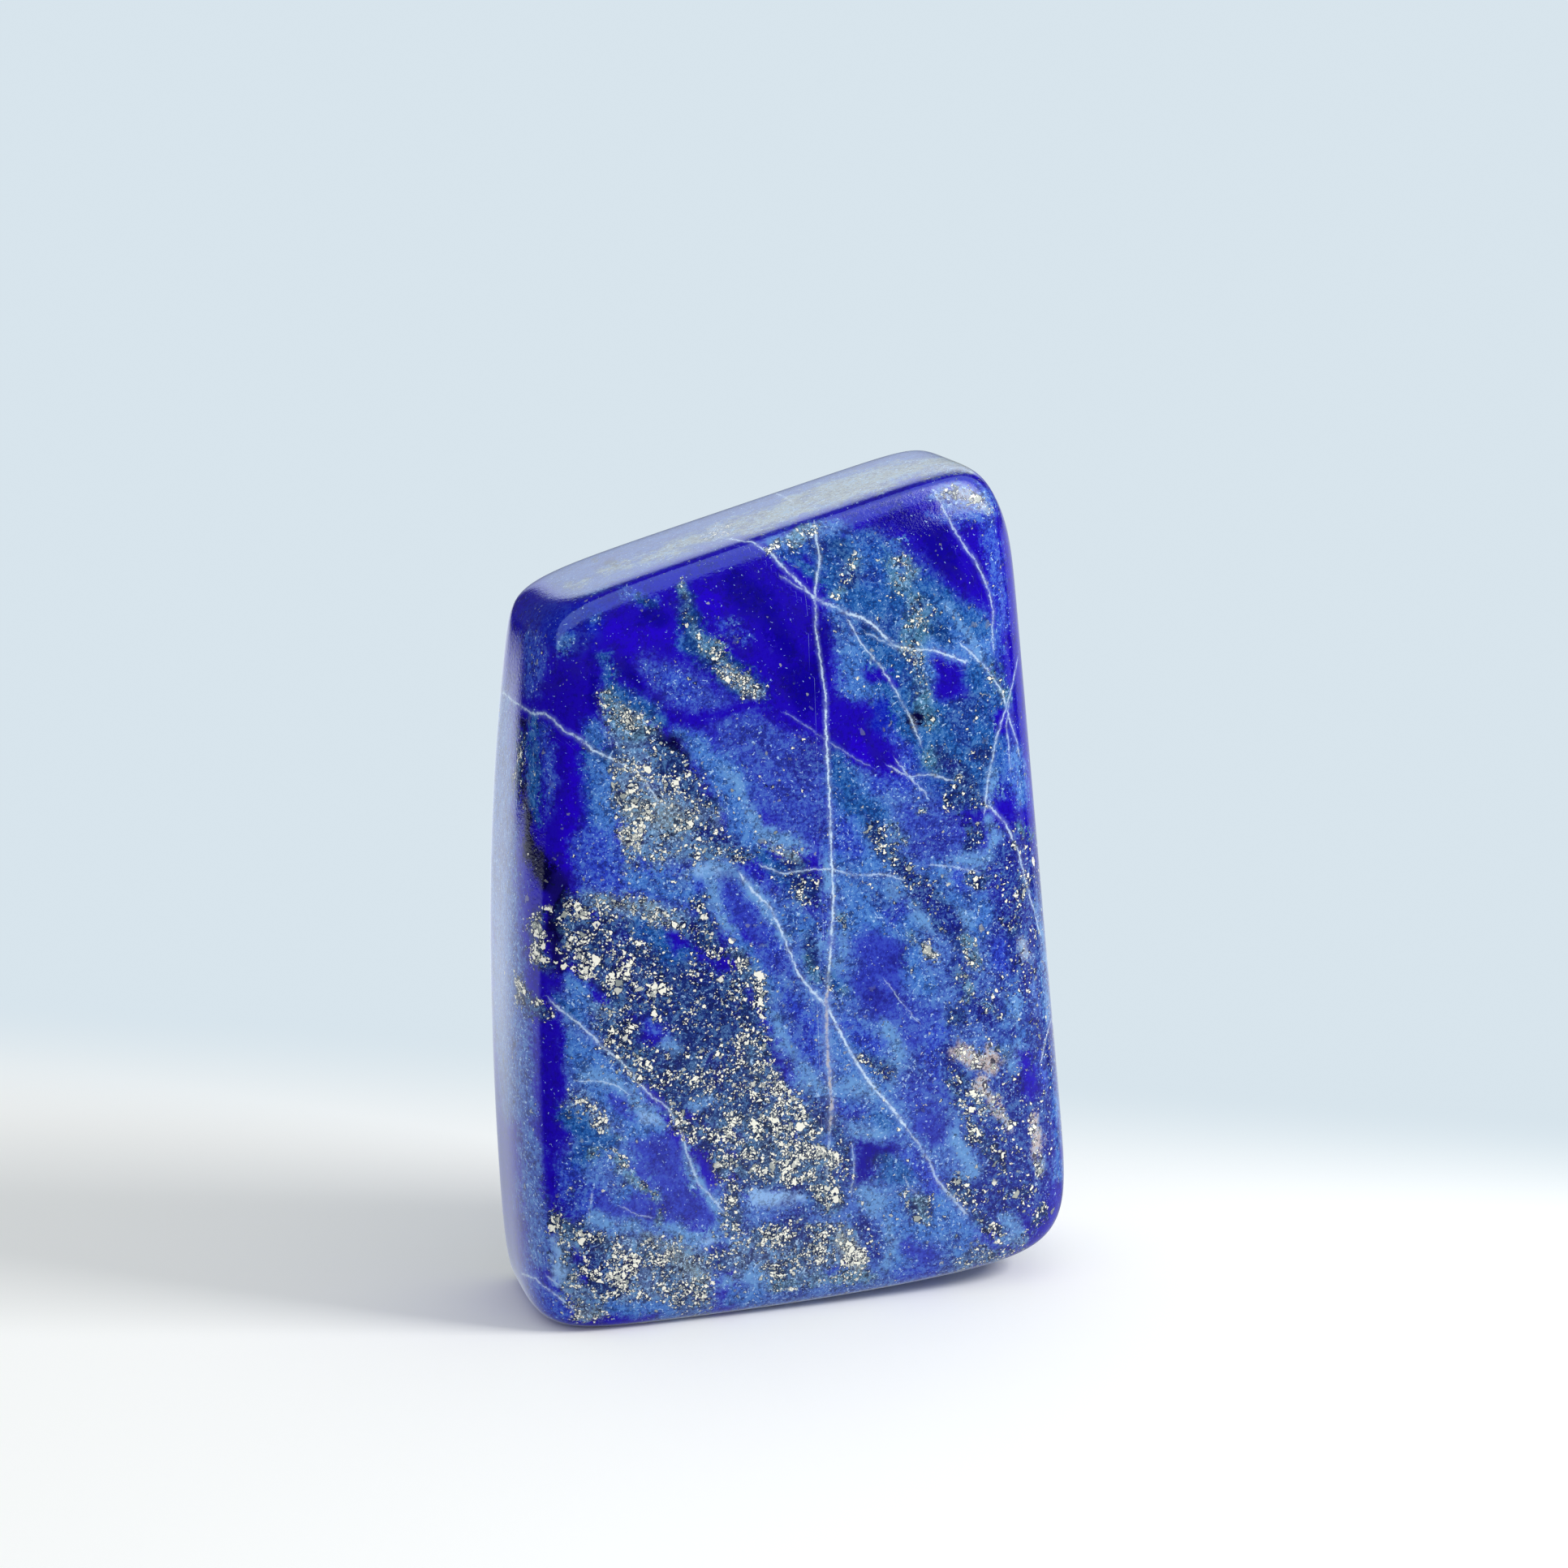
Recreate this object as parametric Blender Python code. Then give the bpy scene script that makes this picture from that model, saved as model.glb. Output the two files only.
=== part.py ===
"""Lapis lazuli freeform: one upright stone, ground to a few soft flats and polished all over.

Metres, +Z up. The wide polished front faces -Y, and the origin is at the middle of the base.
"""

import math
from collections import namedtuple

import bmesh
import bpy
from mathutils import Vector

MM = 0.001

# The heart is a point inside the stone from which its faces are measured, this high above the
# surface it stands on. The foot reaches a little lower, so standing has a flat spot cut from it.
HEART_HEIGHT = 49.5 * MM

# A ground face looks out of the stone at a turn about Z (0 is the front, 90 the right side) and a
# lean up from level, in degrees. Its reach is its distance from the heart. Its crispness says how
# tightly it rolls over into its neighbours: 5 is a full round shoulder, 40 is nearly a corner.
GroundFace = namedtuple("GroundFace", "turn lean reach crispness")
FRONT = GroundFace(turn=0, lean=-2, reach=16.7 * MM, crispness=4)
BACK = GroundFace(turn=180, lean=1, reach=9.4 * MM, crispness=4.5)
RIGHT_SIDE = GroundFace(turn=84.5, lean=6.5, reach=33.3 * MM, crispness=7)
LEFT_SIDE_UPPER = GroundFace(turn=-90.5, lean=9.5, reach=34.9 * MM, crispness=8)
LEFT_SIDE_LOWER = GroundFace(turn=-94, lean=-3.5, reach=33.9 * MM, crispness=11)
TOP = GroundFace(turn=-90, lean=74, reach=43.0 * MM, crispness=40)
TOP_FRONT_EDGE = GroundFace(turn=-11, lean=33, reach=35.8 * MM, crispness=60)
TOP_RIGHT_CORNER = GroundFace(turn=90, lean=44, reach=52.2 * MM, crispness=38)
BOTTOM_LEFT_CORNER = GroundFace(turn=-90, lean=-40, reach=58.3 * MM, crispness=21)
BOTTOM_RIGHT_CORNER = GroundFace(turn=90, lean=-41, reach=59.8 * MM, crispness=23)
FOOT = GroundFace(turn=0, lean=-90, reach=50.5 * MM, crispness=42)
FOOT_RIGHT_ROCKER = GroundFace(turn=90, lean=-81.5, reach=51.9 * MM, crispness=24)
GROUND_FACES = (
    FRONT,
    BACK,
    RIGHT_SIDE,
    LEFT_SIDE_UPPER,
    LEFT_SIDE_LOWER,
    TOP,
    TOP_FRONT_EDGE,
    TOP_RIGHT_CORNER,
    BOTTOM_LEFT_CORNER,
    BOTTOM_RIGHT_CORNER,
    FOOT,
    FOOT_RIGHT_ROCKER,
)

# How many cells the surface has across the stone, through it and up it.
CELLS_ACROSS = 26
CELLS_DEEP = 20
CELLS_UP = 36

# How far the cells are drawn towards the stone's edges: 0 leaves them even. The top and bottom
# edges roll over more tightly than the upright ones.
BUNCHING_LEVEL = 0.6
BUNCHING_UPRIGHT = 0.9

SOLVER_STEPS = 40
SLIVERS_UNDER = 0.3 * MM
RIM_SHARPER_THAN = math.radians(50)

POLISHED_LAPIS = {"colour": (0.035, 0.075, 0.38), "roughness": 0.12, "metallic": 0.0}


def outward(face):
    """The unit vector that a ground face looks along."""
    turn = math.radians(face.turn)
    lean = math.radians(face.lean)
    level = math.cos(lean)
    return Vector((math.sin(turn) * level, -math.cos(turn) * level, math.sin(lean)))


PLANES = [(outward(face), face.reach, face.crispness) for face in GROUND_FACES]


def fullness(point):
    """1 on the skin of the stone, less inside and more outside; point is measured from the heart."""
    total = 0.0
    for normal, reach, crispness in PLANES:
        nearness = normal.dot(point) / reach
        if nearness > 0:
            total += nearness**crispness
    return total


def skin_towards(point):
    """The skin of the stone straight out from the heart through a point."""
    direction = point.normalized()
    inside = 0.0
    outside = 2 * TOP.reach
    for _ in range(SOLVER_STEPS):
        middle = (inside + outside) / 2
        if fullness(direction * middle) < 1:
            inside = middle
        else:
            outside = middle
    return direction * inside


def crossing(face, other):
    """Where two faces that look along the XZ plane would meet, as (x, z) from the heart."""
    a = outward(face)
    b = outward(other)
    spread = a.x * b.z - a.z * b.x
    x = (face.reach * b.z - other.reach * a.z) / spread
    z = (other.reach * a.x - face.reach * b.x) / spread
    return x, z


TOP_ENDS = crossing(TOP, LEFT_SIDE_UPPER), crossing(TOP, RIGHT_SIDE)
UNDERSIDE_ENDS = crossing(FOOT, LEFT_SIDE_LOWER), crossing(FOOT_RIGHT_ROCKER, RIGHT_SIDE)


def between(low, high, share):
    return low + (high - low) * share


def eased(step, steps, bunching):
    """From 0 to 1 with the steps drawn together at both ends, where the stone turns its edges."""
    even = step / steps
    bunched = (1 - math.cos(math.pi * even)) / 2
    return between(even, bunched, bunching)


def sloping_point(ends, across, deep):
    """The skin near a slope that runs the stone's whole depth between two (x, z) ends."""
    left, right = ends
    x = between(left[0], right[0], eased(across, CELLS_ACROSS, BUNCHING_LEVEL))
    y = between(-FRONT.reach, BACK.reach, eased(deep, CELLS_DEEP, BUNCHING_LEVEL))
    z = between(left[1], right[1], eased(across, CELLS_ACROSS, BUNCHING_LEVEL))
    return skin_towards(Vector((x, y, z)))


def wall_point(foot, head, up):
    """The skin part of the way up between two of its points."""
    return skin_towards(foot.lerp(head, eased(up, CELLS_UP, BUNCHING_UPRIGHT)))


def skin_grid():
    """All the skin's points, and its four-sided cells as lists of point numbers."""
    points = []

    def add(point):
        points.append(point)
        return len(points) - 1

    columns = range(CELLS_ACROSS + 1)
    depths = range(CELLS_DEEP + 1)
    places = [(i, j) for i in columns for j in depths]
    underside = {place: add(sloping_point(UNDERSIDE_ENDS, *place)) for place in places}
    top = {place: add(sloping_point(TOP_ENDS, *place)) for place in places}
    cells = []
    for i in columns[:-1]:
        for j in depths[:-1]:
            ring = [(i, j), (i + 1, j), (i + 1, j + 1), (i, j + 1)]
            cells.append([top[place] for place in ring])
            cells.append([underside[place] for place in reversed(ring)])

    rim = [(i, 0) for i in columns[:-1]]
    rim += [(CELLS_ACROSS, j) for j in depths[:-1]]
    rim += [(i, CELLS_DEEP) for i in reversed(columns[1:])]
    rim += [(0, j) for j in reversed(depths[1:])]
    walls = []
    for place in rim:
        foot = points[underside[place]]
        head = points[top[place]]
        climb = [add(wall_point(foot, head, up)) for up in range(1, CELLS_UP)]
        walls.append([underside[place], *climb, top[place]])
    for wall, following in zip(walls, walls[1:] + walls[:1]):
        for k in range(CELLS_UP):
            cells.append([wall[k], following[k], following[k + 1], wall[k + 1]])
    return points, cells


def stand_flat(work):
    """Cuts the flat spot that the stone stands on, level and straight below the heart."""
    bmesh.ops.bisect_plane(
        work,
        geom=work.verts[:] + work.edges[:] + work.faces[:],
        plane_co=Vector((0, 0, -HEART_HEIGHT)),
        plane_no=Vector((0, 0, 1)),
        clear_inner=True,
    )
    low = [corner for corner in work.verts if corner.co.z < SLIVERS_UNDER - HEART_HEIGHT]
    bmesh.ops.remove_doubles(work, verts=low, dist=SLIVERS_UNDER)
    open_edges = [edge for edge in work.edges if edge.is_boundary]
    for corner in {corner for edge in open_edges for corner in edge.verts}:
        corner.co.z = -HEART_HEIGHT
    bmesh.ops.holes_fill(work, edges=open_edges)


def make_stone():
    """The stone as one closed mesh, with its base flat on Z = 0 and centred on the origin."""
    points, cells = skin_grid()
    work = bmesh.new()
    corners = [work.verts.new(point) for point in points]
    for cell in cells:
        work.faces.new([corners[number] for number in cell])
    stand_flat(work)
    bmesh.ops.recalc_face_normals(work, faces=work.faces)
    xs = [corner.co.x for corner in work.verts]
    ys = [corner.co.y for corner in work.verts]
    middle = Vector(((min(xs) + max(xs)) / 2, (min(ys) + max(ys)) / 2, -HEART_HEIGHT))
    bmesh.ops.translate(work, verts=work.verts, vec=-middle)
    mesh = bpy.data.meshes.new("lapis_stone")
    work.to_mesh(mesh)
    work.free()
    mesh.shade_smooth()
    mesh.set_sharp_from_angle(angle=RIM_SHARPER_THAN)
    stone = bpy.data.objects.new("lapis_stone", mesh)
    bpy.context.scene.collection.objects.link(stone)
    return stone


def polished_lapis():
    """The stone's plain finish: deep ultramarine blue under a clear polish."""
    material = bpy.data.materials.new("polished_lapis")
    material.use_nodes = True
    shader = material.node_tree.nodes["Principled BSDF"]
    shader.inputs["Base Color"].default_value = (*POLISHED_LAPIS["colour"], 1.0)
    shader.inputs["Roughness"].default_value = POLISHED_LAPIS["roughness"]
    shader.inputs["Metallic"].default_value = POLISHED_LAPIS["metallic"]
    return material


def clear_scene():
    for thing in list(bpy.data.objects):
        bpy.data.objects.remove(thing, do_unlink=True)


clear_scene()
make_stone().data.materials.append(polished_lapis())
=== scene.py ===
"""Dresses the lapis lazuli freeform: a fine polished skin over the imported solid, painted with the rock's own
zones, veins and pyrite, on a plain pale floor in soft studio light.

Metres, +Z up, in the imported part's frame. Laid out as an add-on and run as a script.
"""

import math
from collections import namedtuple

import bpy
import numpy as np
from mathutils import Matrix, Vector, noise
from mathutils.bvhtree import BVHTree


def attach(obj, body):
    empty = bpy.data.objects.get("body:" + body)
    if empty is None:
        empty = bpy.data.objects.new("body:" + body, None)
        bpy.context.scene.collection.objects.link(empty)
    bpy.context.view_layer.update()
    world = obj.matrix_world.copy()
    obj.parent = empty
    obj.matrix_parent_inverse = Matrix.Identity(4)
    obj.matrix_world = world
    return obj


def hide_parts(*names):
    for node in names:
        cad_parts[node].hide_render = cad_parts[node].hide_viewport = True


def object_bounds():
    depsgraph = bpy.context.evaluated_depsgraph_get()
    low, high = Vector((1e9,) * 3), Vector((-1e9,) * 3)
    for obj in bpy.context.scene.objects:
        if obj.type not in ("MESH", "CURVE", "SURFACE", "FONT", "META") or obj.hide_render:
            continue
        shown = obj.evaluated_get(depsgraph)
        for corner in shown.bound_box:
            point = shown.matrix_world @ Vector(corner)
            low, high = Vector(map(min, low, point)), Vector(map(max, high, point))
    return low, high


bl_info = {
    "name": "Lapis Lazuli Freeform",
    "version": (1, 0, 0),
    "blender": (4, 5, 0),
    "location": "View3D > Sidebar > Lapis",
    "description": "Grinds, paints and lights one polished lapis lazuli freeform",
    "category": "Object",
}

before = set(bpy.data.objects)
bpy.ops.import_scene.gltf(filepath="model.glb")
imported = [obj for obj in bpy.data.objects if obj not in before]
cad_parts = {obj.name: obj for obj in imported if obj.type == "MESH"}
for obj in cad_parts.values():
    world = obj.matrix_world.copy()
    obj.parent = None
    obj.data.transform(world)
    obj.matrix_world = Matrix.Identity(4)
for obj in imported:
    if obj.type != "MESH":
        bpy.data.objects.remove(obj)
CAD_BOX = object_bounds()

MM = 0.001
TINY = 1e-6

# ---- the stone's shape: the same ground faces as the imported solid, from a point inside it ----

HEART_HEIGHT = 49.5 * MM
GroundFace = namedtuple("GroundFace", "turn lean reach crispness")
FRONT = GroundFace(turn=0, lean=-2, reach=16.7 * MM, crispness=4)
BACK = GroundFace(turn=180, lean=1, reach=9.4 * MM, crispness=4.5)
RIGHT_SIDE = GroundFace(turn=84.5, lean=6.5, reach=33.3 * MM, crispness=7)
LEFT_SIDE_UPPER = GroundFace(turn=-90.5, lean=9.5, reach=34.9 * MM, crispness=8)
LEFT_SIDE_LOWER = GroundFace(turn=-94, lean=-3.5, reach=33.9 * MM, crispness=11)
TOP = GroundFace(turn=-90, lean=74, reach=43.0 * MM, crispness=40)
TOP_FRONT_EDGE = GroundFace(turn=-11, lean=33, reach=35.8 * MM, crispness=60)
TOP_RIGHT_CORNER = GroundFace(turn=90, lean=44, reach=52.2 * MM, crispness=38)
BOTTOM_LEFT_CORNER = GroundFace(turn=-90, lean=-40, reach=58.3 * MM, crispness=21)
BOTTOM_RIGHT_CORNER = GroundFace(turn=90, lean=-41, reach=59.8 * MM, crispness=23)
FOOT = GroundFace(turn=0, lean=-90, reach=50.5 * MM, crispness=42)
FOOT_RIGHT_ROCKER = GroundFace(turn=90, lean=-81.5, reach=51.9 * MM, crispness=24)
SIDES = FRONT, BACK, RIGHT_SIDE, LEFT_SIDE_UPPER, LEFT_SIDE_LOWER
TOP_AND_CORNERS = TOP, TOP_FRONT_EDGE, TOP_RIGHT_CORNER, BOTTOM_LEFT_CORNER, BOTTOM_RIGHT_CORNER
GROUND_FACES = (*SIDES, *TOP_AND_CORNERS, FOOT, FOOT_RIGHT_ROCKER)

# The skin is found by halving the way out, so many times, from a start no further out than this many reaches
# of the top. Past so many reaches of a face, being further out makes no odds.
SOLVER_STEPS = 44
START_REACHES = 2
MOST_REACHES = 3

# Each direction of the rough block is cut twice: into so many bands, and each band into so many cells. The
# cuts are bunched towards both ends.
CUTS = {"across": (13, 10), "through": (6, 9), "up": (13, 14)}
BUNCHING = {"across": 0.1, "through": 0.45, "up": 0.5}


def outward(turn, lean):
    """The unit vector at a turn right of the front and a lean up, both in degrees."""
    turn, lean = math.radians(turn), math.radians(lean)
    level = math.cos(lean)
    return np.array((math.sin(turn) * level, -math.cos(turn) * level, math.sin(lean)))


NORMALS = np.array([outward(face.turn, face.lean) for face in GROUND_FACES])
REACHES = np.array([face.reach for face in GROUND_FACES])
CRISPNESS = np.array([face.crispness for face in GROUND_FACES], float)


def fullness(points):
    """1 on the skin of the stone, less inside and more outside, for points measured from the heart."""
    nearness = np.clip(points @ NORMALS.T / REACHES, 0, MOST_REACHES)
    return (nearness**CRISPNESS).sum(axis=1)


def out_to_skin(points):
    """The skin of the stone straight out from the heart through each point."""
    ways = points / np.linalg.norm(points, axis=1, keepdims=True)
    inside = np.zeros(len(ways))
    outside = np.full(len(ways), START_REACHES * TOP.reach)
    for _ in range(SOLVER_STEPS):
        middle = (inside + outside) / 2
        within = fullness(ways * middle[:, None]) < 1
        inside = np.where(within, middle, inside)
        outside = np.where(within, outside, middle)
    return ways * inside[:, None]


def crossing(face, other):
    """Where two faces that look along the XZ plane would meet, as (x, z) from the heart."""
    a, b = (outward(either.turn, either.lean) for either in (face, other))
    spread = a[0] * b[2] - a[2] * b[0]
    x = (face.reach * b[2] - other.reach * a[2]) / spread
    z = (other.reach * a[0] - face.reach * b[0]) / spread
    return np.array((x, z))


TOP_ENDS = crossing(TOP, LEFT_SIDE_UPPER), crossing(TOP, RIGHT_SIDE)
UNDERSIDE_ENDS = crossing(FOOT, LEFT_SIDE_LOWER), crossing(FOOT_RIGHT_ROCKER, RIGHT_SIDE)


def eased(share, bunching):
    """Shares from 0 to 1, drawn together at both ends, where the stone turns its edges."""
    bunched = (1 - np.cos(math.pi * share)) / 2
    return share + (bunched - share) * bunching


def ground_down(block):
    """The skin places for the points of the rough block, each given as shares across, through and up."""
    across, through, up = (eased(block[:, axis], BUNCHING[way]) for axis, way in enumerate(BUNCHING))
    low = UNDERSIDE_ENDS[0] + np.outer(across, UNDERSIDE_ENDS[1] - UNDERSIDE_ENDS[0])
    high = TOP_ENDS[0] + np.outer(across, TOP_ENDS[1] - TOP_ENDS[0])
    level = low + (high - low) * up[:, None]
    y = -FRONT.reach + (FRONT.reach + BACK.reach) * through
    skin = out_to_skin(np.column_stack((level[:, 0], y, level[:, 1])))
    skin[:, 2] = np.maximum(skin[:, 2], -HEART_HEIGHT)
    low, high = skin.min(axis=0), skin.max(axis=0)
    cad_low, cad_high = np.array(CAD_BOX[0]), np.array(CAD_BOX[1])
    return cad_low + (skin - low) / (high - low) * (cad_high - cad_low)


# ---- the camera, and places in its picture ----

PICTURE_SIDE = 1932
VIEW_FIELD = math.radians(24)
VIEW_TURN, VIEW_RISE = -17.52, 12.17
VIEW_AT = np.array((0.75, 5.0, 60.66)) * MM
VIEW_DISTANCE = 440.06 * MM
# Pixels for each step sideways per step of depth.
VIEW_SCALE = PICTURE_SIDE / 2 / math.tan(VIEW_FIELD / 2)


def camera_axes():
    """The camera's right, up and backward unit vectors."""
    back, right = outward(VIEW_TURN, VIEW_RISE), outward(VIEW_TURN + 90, 0)
    return right, np.cross(back, right), back


def camera_place():
    """Where the camera stands."""
    return VIEW_AT + camera_axes()[2] * VIEW_DISTANCE


def in_picture(points):
    """Where points show in the picture, in its pixels from the top left."""
    right, up, back = camera_axes()
    away = points - camera_place()
    depth = -(away @ back)
    x = PICTURE_SIDE / 2 + away @ right / depth * VIEW_SCALE
    y = PICTURE_SIDE / 2 - away @ up / depth * VIEW_SCALE
    return np.column_stack((x, y))


def sight_line(x, y):
    """The unit vector from the camera through a place in the picture."""
    right, up, back = camera_axes()
    way = -back + right * (x - PICTURE_SIDE / 2) / VIEW_SCALE - up * (y - PICTURE_SIDE / 2) / VIEW_SCALE
    return way / np.linalg.norm(way)


# ---- the rock: what each kind looks like, and where it lies ----

# A kind of rock: its colour as a screen shows it, the shares of fine and coarse pyrite grains in it, and
# how much pale dust it carries.
Rock = namedtuple("Rock", "colour fine coarse dust")
ROCKS = {
    "ultramarine": Rock((26, 4, 166), 0.0, 0.0, 0.05),
    "bright ultramarine": Rock((30, 0, 184), 0.0, 0.0, 0.03),
    "indigo": Rock((12, 0, 138), 0.0, 0.0, 0.04),
    "cobalt": Rock((10, 26, 166), 0.0, 0.0, 0.12),
    "sea": Rock((26, 76, 166), 0.0, 0.0, 0.4),
    "royal": Rock((40, 60, 180), 0.01, 0.0, 0.35),
    "violet": Rock((46, 62, 170), 0.01, 0.0, 0.3),
    "lens": Rock((44, 56, 172), 0.0, 0.0, 0.15),
    "steel": Rock((62, 92, 176), 0.005, 0.0, 0.45),
    "denim": Rock((58, 104, 184), 0.01, 0.0, 0.45),
    "pale": Rock((94, 137, 194), 0.01, 0.0, 0.4),
    "sky": Rock((134, 170, 218), 0.0, 0.0, 0.2),
    "teal": Rock((26, 80, 154), 0.01, 0.0, 0.36),
    "deep teal": Rock((12, 56, 124), 0.02, 0.0, 0.28),
    "grey green": Rock((56, 100, 132), 0.1, 0.01, 0.5),
    "olive": Rock((78, 108, 132), 0.24, 0.02, 0.65),
    "haze": Rock((74, 100, 148), 0.2, 0.02, 0.6),
    "gold haze": Rock((112, 128, 140), 0.4, 0.14, 0.65),
    "speckled grey": Rock((80, 102, 146), 0.32, 0.05, 0.6),
    "navy": Rock((22, 42, 110), 0.13, 0.03, 0.35),
    "navy gold": Rock((26, 48, 106), 0.28, 0.09, 0.4),
    "dense gold": Rock((52, 74, 114), 0.44, 0.2, 0.5),
    "big gold": Rock((36, 52, 110), 0.42, 0.56, 0.4),
    "bright gold": Rock((146, 154, 154), 1.0, 1.8, 0.6),
    "black": Rock((2, 0, 46), 0.02, 0.0, 0.0),
    "cream": Rock((140, 146, 170), 0.3, 0.2, 0.55),
    "rose cream": Rock((190, 174, 170), 0.25, 0.16, 0.5),
    "dusk": Rock((26, 40, 134), 0.06, 0.02, 0.35),
    "calcite": Rock((134, 134, 114), 0.0, 0.0, 0.5),
    "top blue": Rock((48, 70, 150), 0.0, 0.0, 0.2),
    "top strip": Rock((30, 24, 160), 0.0, 0.0, 0.0),
    "pit": Rock((40, 22, 10), 0.0, 0.0, 0.0),
}

# A stroke lays one kind of rock along places read off the picture: x and y in its pixels, then the
# stroke's half width there. Soft is how many pixels its edge takes to fade.
Stroke = namedtuple("Stroke", "rock soft places")


def rows_of(kind, *rows):
    """Strokes or veins from rows of two values and then the places."""
    return [kind(*row[:2], row[2:]) for row in rows]


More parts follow.
